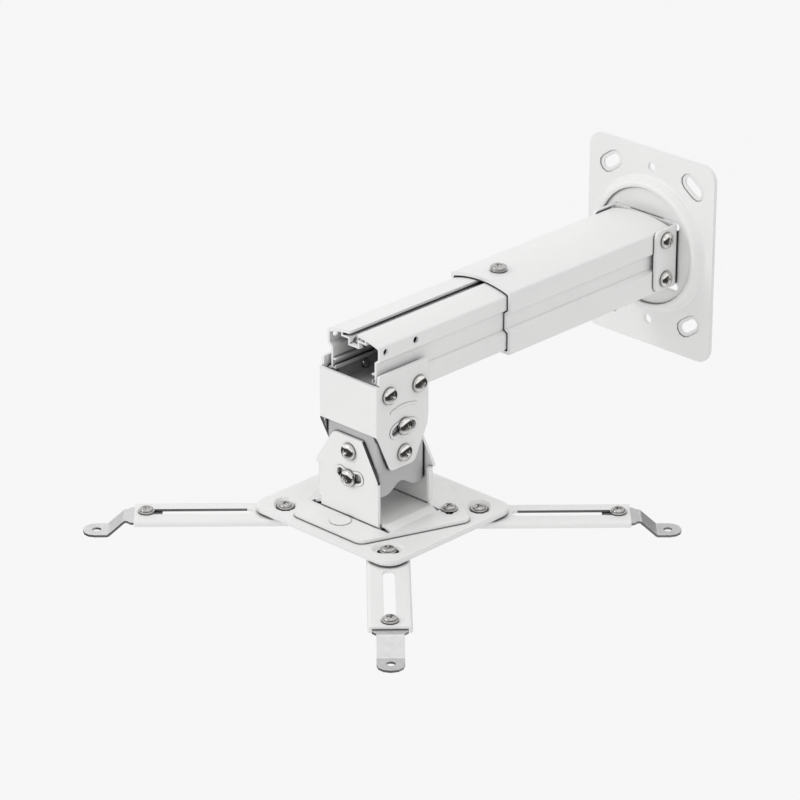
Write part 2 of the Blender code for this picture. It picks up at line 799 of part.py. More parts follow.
def build_inner_tube():
    """The inner tube: nested outline, open channel along its top and ports on its sides."""
    inset = inner_inset()
    start, end = -(INNER_TUBE_REACH - INNER_TUBE_LENGTH), -INNER_TUBE_REACH
    item = prism([tube_outline(inset), tube_outline(inset + INNER_WALL)], end, start, "y")
    join(item, prism([channel_section()], end, start, "y"))
    for side in (-1, 1):
        upper, lower = PORT_RIB_HEIGHTS
        join(item, prism([port_rib(side, upper, 0.0)], end, start, "y"))
        join(item, prism([port_rib(side, lower, PORT_RIB_SHEET)], end, start, "y"))
    half = CHANNEL_SLOT_WIDTH / 2
    roof = channel_levels()[0]
    cut(item, box((-half, half), (end - 0.01, start + 0.01), (roof - 0.0004, plateau(inset) + 0.001)))
    for reach in neck_screw_reaches():
        drilled(item, (0, -reach, NECK_SCREW_DROP), "+x", PILOT_HOLE, 2 * TUBE_WIDTH)
        drilled(item, (0, -reach, -NECK_SCREW_DROP), "+x", M5 + 2 * SCREW_FIT, 2 * TUBE_WIDTH)
    return item


def lock_reach():
    """How far out the telescope's lock screw lies."""
    return OUTER_TUBE_START + OUTER_TUBE_LENGTH - LOCK_SETBACK


def build_slide_nut():
    """The T-shaped nut that the lock screw draws up under the inner tube's channel roof."""
    roof, wide, _ = channel_levels()
    half_wide = min(SLIDE_NUT_WIDTH, CHANNEL_WIDE - 2 * CHANNEL_WALL - 2 * GAP) / 2
    half_narrow = CHANNEL_NARROW / 2 - CHANNEL_WALL - GAP
    drop = TUBE_CROWN - crown_height(half_wide, inner_inset() + INNER_WALL)
    top, step = roof - drop - GAP, wide + CHANNEL_WALL + GAP
    y = -lock_reach()
    span = (y - SLIDE_NUT_LENGTH / 2, y + SLIDE_NUT_LENGTH / 2)
    item = box((-half_wide, half_wide), span, (step, top))
    join(item, box((-half_narrow, half_narrow), span, (step - SLIDE_NUT_STEM, step + 0.0003)))
    return drilled(item, (0, y, roof), "+z", LOCK_THREAD + 2 * SCREW_FIT)


# Neck bracket

def neck_half():
    """Half the neck's outer width: the inner tube, a gap and the sheet."""
    return TUBE_WIDTH / 2 - inner_inset() + GAP + HEAD_SHEET


def neck_reach():
    """How far out the neck's front wall lies: a lead beyond the inner tube's end."""
    return INNER_TUBE_REACH + NECK_LEAD


def plate_reach():
    """How far out the plates' middle lies, set back from the pitch axis."""
    return neck_reach() - PITCH_SETBACK - PLATE_SETBACK


def pitch_axis():
    """The (Y, Z) place of the pitch axis, where the roll axis crosses it."""
    return -(neck_reach() - PITCH_SETBACK), -PITCH_DROP


def neck_outline():
    """The neck's side view: a front wall, ears that rise above it and taper to the pivot."""
    y, z = pitch_axis()
    front, back = -neck_reach(), -neck_reach() + NECK_DEPTH
    outside, front_foot = front - 0.001, NECK_FRONT_TOP - NECK_FRONT_HEIGHT
    base = z - NECK_EAR_BOTTOM
    shoulder = z + NECK_SHOULDER_DROP
    return rounded([
        (outside, front_foot, 0), (front, front_foot, 0),
        (y - NECK_FOOT_FRONT, base, 0.0040), (y + NECK_FOOT_BACK, base, 0.0040),
        (back - 0.0008, shoulder, 0.0050), (back, shoulder + 0.0060, 0.0050), (back, NECK_EAR_TOP, 0.0008),
        (front + NECK_EAR_NOTCH, NECK_EAR_TOP, 0.0008), (front + NECK_EAR_NOTCH, NECK_FRONT_TOP, 0),
        (outside, NECK_FRONT_TOP, 0),
    ])


def lock_slot(centre, middle, grow=0.0):
    """A tilt lock's curved slot about its pivot, grown by a margin for its rim."""
    width = M5 + 2 * SCREW_FIT + 2 * grow
    return arc_slot(centre, LOCK_RADIUS, width, middle, LOCK_HALF_TRAVEL)


def build_neck():
    """The neck bracket: a front wall and two ears, with a curved tilt slot in each ear."""
    half = neck_half()
    axis = pitch_axis()
    front, back = -neck_reach(), -neck_reach() + NECK_DEPTH
    past = back + 0.001
    path = [(half, past), (half, front), (-half, front), (-half, past)]
    section = folded_sheet(path[::-1], HEAD_SHEET, HEAD_BEND, outer=NECK_CORNER)
    low = axis[1] - NECK_EAR_BOTTOM - 0.001
    item = prism([section], low, NECK_EAR_TOP + 0.001, "z")
    trim(item, prism([neck_outline()], -2 * half, 2 * half, "x"))
    inner = half - HEAD_SHEET - HEAD_BEND
    wall = (front - 0.001, front + HEAD_SHEET + 0.001)
    cut(item, box((-inner, inner), wall, (low - 0.001, NECK_FRONT_TOP - NECK_FRONT_HEIGHT)))
    for side in (-1, 1):
        inner, rim, mark = (side * (half - HEAD_SHEET / 2), side * (half + LOCK_RIM_HEIGHT),
                            side * (half + SCALE_HEIGHT))
        join(item, prism([lock_slot(axis, math.pi / 2, LOCK_RIM)], *sorted((inner, rim)), "x"))
        scale = arc_slot(axis, SCALE_RADIUS, SCALE_WIDTH, math.pi / 2, SCALE_HALF)
        join(item, prism([scale], *sorted((inner, mark)), "x"))
    cut(item, prism([lock_slot(axis, math.pi / 2)], -2 * half, 2 * half, "x"))
    drilled(item, (0, *axis), "+x", M5 + 2 * SCREW_FIT, 4 * half)
    for reach in neck_screw_reaches():
        drilled(item, (0, -reach, -NECK_SCREW_DROP), "+x", M5 + 2 * SCREW_FIT, 4 * half)
    return item


# Knuckle

def knuckle_half():
    """Half the knuckle's width: it turns between the neck's ears."""
    return neck_half() - HEAD_SHEET - GAP


def knuckle_outline():
    """The knuckle's side view: straight walls, a lobe round the lock screw, an arch below."""
    y, z = pitch_axis()
    front, back, drop = y - KNUCKLE_FRONT, y + KNUCKLE_BACK, KNUCKLE_DROP
    lobe = LOCK_RADIUS + KNUCKLE_LOBE
    arch = [
        (y + KNUCKLE_ARCH_HALF * u,
         z - drop + KNUCKLE_ARCH_HEIGHT * (1 + math.cos(math.pi * u)) / 2, 0)
        for u in (-1 + i / 6 for i in range(13))
    ]
    corners = [(front, z - drop, 0)] + arch
    corners += [(back, z - drop, 0.0030), (back, z + KNUCKLE_WALL_TOP, 0)]
    corners += [(y + KNUCKLE_LOBE * 0.6, z + lobe, 0.0040), (y - KNUCKLE_LOBE * 0.6, z + lobe, 0.0040)]
    corners += [(front, z + KNUCKLE_WALL_TOP, 0)]
    return rounded(corners)


def collar(spot, facing):
    """A drawn collar round a tapped hole, on the inside of a wall."""
    radius = M5 / 2 + SCREW_FIT + COLLAR_WALL
    return moved(rod(radius, -COLLAR_HEIGHT, HEAD_SHEET / 2, 14), Matrix.Translation(spot) @ FACING[facing])


def build_knuckle():
    """The knuckle: a four-walled frame that pitches in the neck and carries the roll pivots."""
    y, z = pitch_axis()
    wide, deep = knuckle_half(), (KNUCKLE_FRONT + KNUCKLE_BACK) / 2
    middle = (0.0, y + (KNUCKLE_BACK - KNUCKLE_FRONT) / 2)
    outer = rectangle(wide, deep, KNUCKLE_CORNER * 0.7, middle)
    inner = rectangle(wide - HEAD_SHEET, deep - HEAD_SHEET, KNUCKLE_CORNER * 0.7 - HEAD_SHEET, middle)
    lobe = LOCK_RADIUS + KNUCKLE_LOBE
    item = prism([outer, inner], z - KNUCKLE_DROP - 0.001, z + lobe + 0.001, "z")
    trim(item, prism([knuckle_outline()], -2 * wide, 2 * wide, "x"))
    hole = M5 + 2 * SCREW_FIT
    for sign, facing in ((1, "+x"), (-1, "-x")):
        for level in (0.0, LOCK_RADIUS):
            join(item, collar((sign * (wide - HEAD_SHEET), y, z + level), facing))
    for face, facing in ((y + KNUCKLE_BACK - HEAD_SHEET, "+y"), (y - KNUCKLE_FRONT + HEAD_SHEET, "-y")):
        for level in (0.0, -LOCK_RADIUS):
            join(item, collar((0, face, z + level), facing))
    for level in (0.0, LOCK_RADIUS):
        drilled(item, (0, y, z + level), "+x", hole, 4 * wide)
    for level in (0.0, -LOCK_RADIUS):
        drilled(item, (0, y, z + level), "+y", hole, 4 * deep)
    return item


# Lower bracket

def lower_faces():
    """The lower bracket's outer faces along Y, front and back."""
    y = pitch_axis()[0]
    beyond = GAP + HEAD_SHEET
    return y - KNUCKLE_FRONT - beyond, y + KNUCKLE_BACK + beyond


def lower_floor():
    """The underside of the lower bracket's floor, which lies on the projector plate."""
    return PLATE_TOP + GAP


def lower_outline():
    """The ears' front view: narrow at the pivot, sloping out to full width."""
    z = pitch_axis()[1]
    wide = LOWER_HALF_WIDTH + LOWER_CURL_WIDTH
    shoulder = z - LOWER_SHOULDER
    base = lower_floor() - 0.001
    lean = LOWER_CURL_WIDTH * 0.7
    return rounded([
        (-wide, base, 0), (wide, base, 0), (wide, shoulder, LOWER_CORNER * 2),
        (LOWER_TOP_HALF + lean, z + LOWER_TOP, LOWER_CORNER),
        (-LOWER_TOP_HALF - lean, z + LOWER_TOP, LOWER_CORNER), (-wide, shoulder, LOWER_CORNER * 2),
    ])


def open_edge(sign, face_front, face_back):
    """What comes off the ear's side that has no curl, along its sloping and upright edge."""
    z = pitch_axis()[1]
    far = LOWER_HALF_WIDTH + 2 * LOWER_CURL_WIDTH
    high = z + LOWER_TOP + 0.002
    lean = (LOWER_HALF_WIDTH - LOWER_TOP_HALF) / (LOWER_TOP + LOWER_SHOULDER)
    loop = rounded([
        (sign * LOWER_HALF_WIDTH, lower_floor() - 0.002, 0),
        (sign * LOWER_HALF_WIDTH, z - LOWER_SHOULDER, LOWER_CORNER * 2),
        (sign * (LOWER_TOP_HALF - lean * 0.002), high, 0), (sign * far, high, 0),
        (sign * far, lower_floor() - 0.002, 0),
    ])
    return prism([loop], face_front, face_back, "y")


def edge_curl(sign, face, inward):
    """The rolled stiffening edge of an ear, in plan, from the shoulder down to its stop."""
    z = pitch_axis()[1]
    edge = sign * (LOWER_HALF_WIDTH + LOWER_CURL_WIDTH)
    hold = sign * (LOWER_HALF_WIDTH - 0.003)
    depth = HEAD_SHEET + LOWER_CURL_RADIUS + LOWER_CURL_LENGTH
    path = [(hold, face), (edge, face), (edge, face + inward * depth)]
    if sign * inward < 0:
        path = path[::-1]
    section = folded_sheet(path, HEAD_SHEET, LOWER_CURL_RADIUS, 5)
    return prism([section], z - LOWER_CURL_STOP, z - LOWER_SHOULDER - 0.001, "z")


def build_lower_bracket():
    """The lower bracket: a floor and two ears; opposite ears have one rolled edge each."""
    y, z = pitch_axis()
    front, back = lower_faces()
    high = z + LOWER_TOP
    floor = lower_floor()
    path = [(back, high + 0.001), (back, floor), (front, floor), (front, high + 0.001)]
    section = folded_sheet(path[::-1], HEAD_SHEET, LOWER_FLOOR_BEND)
    wide = LOWER_HALF_WIDTH + LOWER_CURL_WIDTH
    item = prism([section], -wide, wide, "x")
    trim(item, prism([lower_outline()], front - 0.01, back + 0.01, "y"))
    cut(item, open_edge(1, front - 0.01, y), open_edge(-1, y, back + 0.01))
    bend = HEAD_SHEET + LOWER_CURL_RADIUS
    for sign, face, inward in ((-1, front, 1), (1, back, -1)):
        x_span = sorted((sign * (wide - bend), sign * (wide + 0.001)))
        y_span = sorted((face - inward * 0.001, face + inward * (HEAD_SHEET + 0.0001)))
        cut(item, box(x_span, y_span, (floor - 0.001, z - LOWER_SHOULDER - 0.001)))
        join(item, edge_curl(sign, face, inward))
    inner = LOWER_HALF_WIDTH
    depth = (front + HEAD_SHEET, back - HEAD_SHEET)
    cut(item, box((-wide - 0.001, -inner), depth, (floor - 0.001, floor + 0.003)))
    cut(item, box((inner, wide + 0.001), depth, (floor - 0.001, floor + 0.003)))
    for face, inward in ((front, 1), (back, -1)):
        rim = sorted((face + inward * HEAD_SHEET / 2, face - inward * LOCK_RIM_HEIGHT))
        join(item, prism([lock_slot((0, z), -math.pi / 2, LOCK_RIM)], *rim, "y"))
    cut(item, prism([lock_slot((0, z), -math.pi / 2)], front - 0.01, back + 0.01, "y"))
    return drilled(item, (0, y, z), "+y", M5 + 2 * SCREW_FIT, 4 * KNUCKLE_BACK)


# Plates

def bridge_rise():
    """How far the adapter's bridge stands up: the bracket's floor goes under it."""
    return lower_floor() + HEAD_SHEET + GAP - adapter_bottom()


def adapter_bottom():
    """The adapter plate's underside, a gap above the projector plate."""
    return PLATE_TOP + GAP


def adapter_outline():
    """The adapter plate's outline: widest behind the middle."""
    y = -plate_reach()
    corner = ADAPTER_CORNER
    half = [(ADAPTER_FRONT_HALF, y - ADAPTER_FRONT, corner), (ADAPTER_WIDE_HALF, y + ADAPTER_WIDE_Y, corner),
            (ADAPTER_BACK_HALF, y + ADAPTER_BACK, corner)]
    return rounded(half + [(-u, v, radius) for u, v, radius in reversed(half)])


def adapter_screw_spots():
    """The (X, Y) places of the adapter plate's screws."""
    return [(side * ADAPTER_SCREW_X, -plate_reach() + ADAPTER_SCREW_Y) for side in (-1, 1)]


def build_adapter_plate():
    """The adapter plate: slits for the bracket's ears and a raised bridge over its floor."""
    front, back = lower_faces()
    bottom = adapter_bottom()
    top = bottom + ADAPTER_SHEET
    fit = HEAD_SHEET + 2 * GAP
    long = SLIT_HALF_LENGTH
    window = rectangle(long, (back - front) / 2 + GAP, 0, (0.0, (front + back) / 2))
    item = prism([adapter_outline(), window], bottom, top)
    rise = bridge_rise()
    flat = BRIDGE_FLAT_HALF
    under = [(-long - 0.001, bottom), (-long, bottom), (-flat, bottom + rise), (flat, bottom + rise),
             (long, bottom), (long + 0.001, bottom)]
    over = [(u, v + ADAPTER_SHEET) for u, v in reversed(under)]
    bridge = prism([under + over], front - GAP + fit, back + GAP - fit, "y")
    join(item, bridge)
    disc = circle((0, -plate_reach() + MARK_Y), MARK_DIAMETER / 2, 24)
    join(item, prism([disc], top - 0.0005, top + MARK_HEIGHT))
    for x, y in adapter_screw_spots():
        reach = ADAPTER_KEY_LENGTH / 2 * math.sqrt(0.5)
        spot = (x + math.copysign(reach, x), y - reach)
        hole = M4 + 2 * SCREW_FIT
        loop = slot(spot, ADAPTER_KEY_LENGTH + hole, hole, math.copysign(math.pi / 4, -x))
        cut(item, prism([loop], bottom - 0.001, top + 0.001))
    return item


def arm_spots():
    """Each arm's name, corner screw (X, Y) and heading."""
    for row, v in (("front", -1), ("back", 1)):
        for column, u in (("left", -1), ("right", 1)):
            spot = (u * ARM_PIVOT_X, -plate_reach() + v * ARM_PIVOT_Y)
            heading = math.atan2(v * math.sin(ARM_ANGLE), u * math.cos(ARM_ANGLE))
            yield f"{row}_{column}", spot, heading


def pan(spot, turn, grow, low, high):
    """A corner dimple's form: a slot outline that leans in towards its floor, grown by a margin."""
    width = DIMPLE_WIDTH + 2 * grow
    length = DIMPLE_LENGTH + 2 * grow
    item = prism([slot((0.0, 0.0), length, width)], low, high)
    half = (length - width) / 2
    share = (width / 2 - DIMPLE_LEAN) / (width / 2)
    for vert in item.data.vertices:
        if vert.co.z < (low + high) / 2:
            hub = math.copysign(half, vert.co.x)
            vert.co.x = hub + (vert.co.x - hub) * share
            vert.co.y *= share
    return moved(item, Matrix.Translation((*spot, 0.0)) @ Matrix.Rotation(turn, 4, "Z"))


def dimple_floor():
    """The height of the corner dimples' floors, on which the corner screws sit."""
    return PLATE_TOP - DIMPLE_DEPTH


def build_projector_plate():
    """The projector plate: a flat sheet with a slotted dimple pressed into each corner."""
    outline = rectangle(PLATE_WIDTH / 2, PLATE_DEPTH / 2, PLATE_CORNER, (0.0, -plate_reach()), 5)
    item = prism([outline], PLATE_TOP - PLATE_SHEET, PLATE_TOP)
    floor = dimple_floor()
    for _, spot, heading in arm_spots():
        turn = heading + math.pi / 2
        join(item, pan(spot, turn, PLATE_SHEET * 0.45, floor - PLATE_SHEET, PLATE_TOP - PLATE_SHEET))
        cut(item, pan(spot, turn, 0.0, floor, PLATE_TOP))
        loop = slot(spot, CORNER_SLOT_LENGTH, CORNER_SLOT_WIDTH, turn)
        cut(item, prism([loop], floor - 0.01, floor + 0.01))
    for x, y in adapter_screw_spots():
        drilled(item, (x, y, PLATE_TOP), "+z", M4 + 2 * SCREW_FIT)
    return item


# Arms and feet, drawn along +X from the corner screw

def arm_top():
    """The top of the arms, a gap under the projector plate's dimples."""
    return dimple_floor() - PLATE_SHEET - GAP


def build_arm():
    """An arm: an inverted channel with a long slot, its inner end round."""
    top = arm_top()
    half = ARM_WIDTH / 2
    path = [(half, top - ARM_HEIGHT), (half, top), (-half, top), (-half, top - ARM_HEIGHT)]
    section = folded_sheet(path, ARM_SHEET, ARM_BEND)
    item = prism([section], -ARM_TAIL - 0.01, ARM_TIP + 0.01, "x")
    plan = [(-ARM_TAIL, -half, half * 0.8), (ARM_TIP, -half, 0.0012),
            (ARM_TIP, half, 0.0012), (-ARM_TAIL, half, half * 0.8)]
    trim(item, prism([rounded(plan, 6)], top - 2 * ARM_HEIGHT, top + 0.01))
    middle = (ARM_SLOT_START + CLAMP_REACH) / 2
    length = CLAMP_REACH - ARM_SLOT_START + ARM_SLOT_WIDTH
    cut(item, prism([slot((middle, 0), length, ARM_SLOT_WIDTH)], top - 0.01, top + 0.01))
    return drilled(item, (0, 0, top), "+z", M4 + 2 * SCREW_FIT)


def strap_top():
    """The top of the foot strap, a gap under the arm's web."""
    return arm_top() - ARM_SHEET - GAP


def build_foot():
    """A foot: a strip that lies in the arm's channel, steps down and ends in a round tab."""
    top = strap_top()
    start = CLAMP_REACH - STRAP_TAIL
    ramp = CLAMP_REACH + STRAP_SHOULDER
    low_start = ramp + STRAP_RAMP
    tip = low_start + STRAP_END
    path = [(tip, top - STRAP_DROP), (low_start, top - STRAP_DROP), (ramp, top), (start, top)]
    section = folded_sheet(path, STRAP_SHEET, STRAP_BEND)
    wide = ARM_WIDTH / 2 - ARM_SHEET - 2 * GAP
    item = prism([section], -wide, wide, "y")
    half = STRAP_WIDTH / 2
    neck = ramp - 0.0016
    plan = rounded([
        (start, -wide, 0.001), (neck - (wide - half), -wide, 0.001), (neck, -half, 0.001),
        (tip, -half, STRAP_TIP_CORNER), (tip, half, STRAP_TIP_CORNER), (neck, half, 0.001),
        (neck - (wide - half), wide, 0.001), (start, wide, 0.001),
    ])
    trim(item, prism([plan], top - 2 * STRAP_DROP, top + 0.01))
    drilled(item, (CLAMP_REACH, 0, top), "+z", M4 + 2 * SCREW_FIT)
    hole = (CLAMP_REACH + STRAP_HOLE_REACH, 0, top - STRAP_DROP)
    return drilled(item, hole, "+z", STRAP_HOLE, 0.01)


# The whole mount

def build_wall_group(assembly, base):
    """Wall plate and swivel bolt, which stay on the wall."""
    assembly.add("wall_plate", build_wall_plate(), "white_powder_coat", base)
    assembly.add("swivel_bolt", build_swivel_bolt(), "bright_steel", base)


def build_outer_group(assembly, swivel):
    """Tube foot, outer tube and the telescope's lock, which turn on the wall plate."""
    assembly.add("swivel_nut", build_swivel_nut(), "bright_steel", swivel)
    assembly.add("tube_foot", build_tube_foot(), "white_powder_coat", swivel)
    assembly.add("outer_tube", build_outer_tube(), "white_powder_coat", swivel)
    assembly.add("slide_nut", build_slide_nut(), "bright_steel", swivel)
    ear = pan_screw(M5, M5_HEAD, M5_HEAD_HEIGHT, FOOT_SHEET + OUTER_WALL + 2 * GAP + 0.0006)
    face = foot_inner_half() + FOOT_SHEET
    for side, sign, facing in (("left", -1, "-x"), ("right", 1, "+x")):
        for level, (y, z) in zip(("lower", "upper"), foot_screw_spots()):
            spot = (sign * face, y, z)
            set_screw(assembly, f"foot_screw_{side}_{level}", ear, spot, facing, swivel)
    roof = plateau(0.0)
    lock = pan_screw(LOCK_THREAD, M5_HEAD, M5_HEAD_HEIGHT, roof - channel_levels()[1] - CHANNEL_WALL)
    set_screw(assembly, "slide_lock_screw", lock, (0, -lock_reach(), roof), "+z", swivel)
    discard(ear, lock)


def build_inner_group(assembly, slide):
    """Inner tube, neck bracket and the screws that join them."""
    assembly.add("inner_tube", build_inner_tube(), "white_powder_coat", slide)
    assembly.add("neck_bracket", build_neck(), "white_powder_coat", slide)
    screw = pan_screw(M5, M5_HEAD, M5_HEAD_HEIGHT, HEAD_SHEET + INNER_WALL + 2 * GAP + 0.0010)
    for side, sign, facing in (("left", -1, "-x"), ("right", 1, "+x")):
        for place, reach in zip(("front", "back"), neck_screw_reaches()):
            spot = (sign * neck_half(), -reach, -NECK_SCREW_DROP)
            set_screw(assembly, f"neck_screw_{side}_{place}", screw, spot, facing, slide)
    discard(screw)


def build_knuckle_group(assembly, pitch):
    """Knuckle with its tilt screws: pitch pivots and locks, roll pivots and locks."""
    assembly.add("knuckle", build_knuckle(), "white_powder_coat", pitch)
    y, z = pitch_axis()
    front, back = lower_faces()
    length = 2 * HEAD_SHEET + COLLAR_HEIGHT + GAP
    pivot = pan_screw(M5, M5_HEAD, M5_HEAD_HEIGHT, length)
    lock = pan_screw(M5, M5_HEAD, M5_HEAD_HEIGHT, length + LOCK_RIM_HEIGHT)
    rim = LOCK_RIM_HEIGHT
    for side, sign, facing in (("left", -1, "-x"), ("right", 1, "+x")):
        face = neck_half()
        set_screw(assembly, f"pitch_pivot_screw_{side}", pivot, (sign * face, y, z), facing, pitch)
        spot = (sign * (face + rim), y, z + LOCK_RADIUS)
        set_screw(assembly, f"pitch_lock_screw_{side}", lock, spot, facing, pitch)
    for place, face, sign, facing in (("front", front, -1, "-y"), ("back", back, 1, "+y")):
        set_screw(assembly, f"roll_pivot_screw_{place}", pivot, (0, face, z), facing, pitch)
        spot = (0, face + sign * rim, z - LOCK_RADIUS)
        set_screw(assembly, f"roll_lock_screw_{place}", lock, spot, facing, pitch)
    discard(pivot, lock)


def build_plate_group(assembly, roll):
    """Lower bracket, adapter plate and projector plate, with their screws and nuts."""
    assembly.add("lower_bracket", build_lower_bracket(), "white_powder_coat", roll)
    assembly.add("adapter_plate", build_adapter_plate(), "white_powder_coat", roll)
    assembly.add("projector_plate", build_projector_plate(), "white_powder_coat", roll)
    top = adapter_bottom() + ADAPTER_SHEET
    screw = pan_screw(M4, M4_HEAD, M4_HEAD_HEIGHT, ADAPTER_SHEET + PLATE_SHEET + 2 * GAP, M4_WASHER)
    for side, (x, y) in zip(("left", "right"), adapter_screw_spots()):
        set_screw(assembly, f"adapter_screw_{side}", screw, (x, y, top), "+z", roll)
    stack = PLATE_SHEET + ARM_SHEET + NUT_M4_HEIGHT + 4 * GAP
    corner = pan_screw(M4, M4_HEAD, M4_HEAD_HEIGHT, stack + 0.0008, M4_WASHER)
    for name, (x, y), _ in arm_spots():
        set_screw(assembly, f"arm_screw_{name}", corner, (x, y, dimple_floor()), "+z", roll)
        nut = hex_nut(NUT_M4_WIDTH, NUT_M4_HEIGHT, M4 + 2 * SCREW_FIT)
        moved(nut, Matrix.Translation((x, y, arm_top() - ARM_SHEET - GAP - NUT_M4_HEIGHT)))
        assembly.add(f"arm_nut_{name}", nut, "nickel_screw", roll)
    discard(screw, corner)


def build_arm_group(assembly, roll):
    """Four arms with their sliding feet; each foot carries its clamp screw and nut."""
    arm, foot = build_arm(), build_foot()
    length = ARM_SHEET + STRAP_SHEET + NUT_M4_HEIGHT + 3 * GAP + 0.0008
    screw = pan_screw(M4, M4_HEAD, M4_HEAD_HEIGHT, length)
    moved(screw, Matrix.Translation((CLAMP_REACH, 0, arm_top() + GAP)))
    nut = hex_nut(NUT_M4_WIDTH, NUT_M4_HEIGHT, M4 + 2 * SCREW_FIT)
    level = strap_top() - STRAP_SHEET - GAP - NUT_M4_HEIGHT
    moved(nut, Matrix.Translation((CLAMP_REACH, 0, level)))
    for name, (x, y), heading in arm_spots():
        swing = assembly.joint(f"arm_swing_{name}", (x, y, arm_top()), roll)
        reach = Vector((math.cos(heading), math.sin(heading), 0)) * CLAMP_REACH
        track = assembly.joint(f"foot_track_{name}", Vector((x, y, arm_top())) + reach, swing)
        place = Matrix.Translation((x, y, 0)) @ Matrix.Rotation(heading, 4, "Z")
        pieces = (("arm", arm, "white_powder_coat", swing), ("foot", foot, "bright_steel", track),
                  ("clamp_screw", screw, "nickel_screw", track), ("clamp_nut", nut, "nickel_screw", track))
        for kind, template, finish, carrier in pieces:
            item = mesh_object(kind, template.data.copy())
            assembly.add(f"{kind}_{name}", moved(item, place), finish, carrier)
    discard(arm, foot, screw, nut)


def discard(*items):
    """Removes working copies."""
    for item in items:
        bpy.data.objects.remove(item, do_unlink=True)


def build():
    """Builds the whole mount, joint by joint outwards from the wall."""
    clear_scene()
    assembly = Assembly(MODEL_NAME)
    y, z = pitch_axis()
    base = assembly.joint("wall_datum", (0, 0, 0))
    swivel = assembly.joint("swivel_axis", (0, 0, 0), base)
    slide = assembly.joint("slide_axis", (0, -INNER_TUBE_REACH, 0), swivel)
    pitch = assembly.joint("pitch_axis", (0, y, z), slide)
    roll = assembly.joint("roll_axis", (0, y, z), pitch)
    build_wall_group(assembly, base)
    build_outer_group(assembly, swivel)
    build_inner_group(assembly, slide)
    build_knuckle_group(assembly, pitch)
    build_plate_group(assembly, roll)
    build_arm_group(assembly, roll)


build()
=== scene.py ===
"""Looks of the projector ceiling mount: coated sheet, plated screws, bright feet and the studio."""

from __future__ import annotations

import json
import logging
import math
from dataclasses import dataclass, field, replace
from enum import Enum
from typing import Callable, Iterator

import bmesh
import bpy
from mathutils import Matrix, Vector

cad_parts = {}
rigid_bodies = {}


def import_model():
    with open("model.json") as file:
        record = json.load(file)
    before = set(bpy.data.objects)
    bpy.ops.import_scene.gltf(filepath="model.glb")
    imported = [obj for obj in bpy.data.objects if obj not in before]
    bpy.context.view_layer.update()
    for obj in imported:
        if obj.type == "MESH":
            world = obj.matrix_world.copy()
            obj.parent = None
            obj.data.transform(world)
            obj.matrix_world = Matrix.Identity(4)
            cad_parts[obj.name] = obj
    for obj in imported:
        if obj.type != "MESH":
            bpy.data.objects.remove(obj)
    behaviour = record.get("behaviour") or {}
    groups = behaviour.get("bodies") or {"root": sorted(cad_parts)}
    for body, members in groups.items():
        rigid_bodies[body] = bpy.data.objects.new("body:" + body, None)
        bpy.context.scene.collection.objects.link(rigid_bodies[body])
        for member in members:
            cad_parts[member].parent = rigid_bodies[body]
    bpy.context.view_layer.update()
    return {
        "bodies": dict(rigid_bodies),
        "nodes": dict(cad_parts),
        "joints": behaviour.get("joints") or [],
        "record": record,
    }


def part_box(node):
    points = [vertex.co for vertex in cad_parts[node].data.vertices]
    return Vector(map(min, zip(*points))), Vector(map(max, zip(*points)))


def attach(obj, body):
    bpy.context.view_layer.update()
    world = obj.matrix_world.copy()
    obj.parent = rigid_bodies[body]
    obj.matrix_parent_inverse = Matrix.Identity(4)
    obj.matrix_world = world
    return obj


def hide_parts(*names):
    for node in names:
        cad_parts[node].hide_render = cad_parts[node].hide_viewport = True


log = logging.getLogger("projector_mount")

SCREW_SMOOTH = 32.0
LIP_SMOOTH = 50.0

Colour = tuple[float, float, float]
Spot = tuple[float, float, float]
Range = tuple[float, float, float, float]


class Slot(Enum):
    """The record's names for the three finishes."""

    COAT = "white_powder_coat"
    NICKEL = "nickel_screw"
    STEEL = "bright_steel"


class Facing(Enum):
    """The way a screw's head points."""

    LEFT = (-1.0, 0.0, 0.0)
    RIGHT = (1.0, 0.0, 0.0)
    FRONT = (0.0, -1.0, 0.0)
    BACK = (0.0, 1.0, 0.0)
    UP = (0.0, 0.0, 1.0)


# Finishes


@dataclass(frozen=True)
class Shading:
    """Painted shade in a coat's colour where surfaces stand close: how far off, how much, and from which
    openness.
    """

    reach: float
    deep: float
    limits: tuple[float, float]


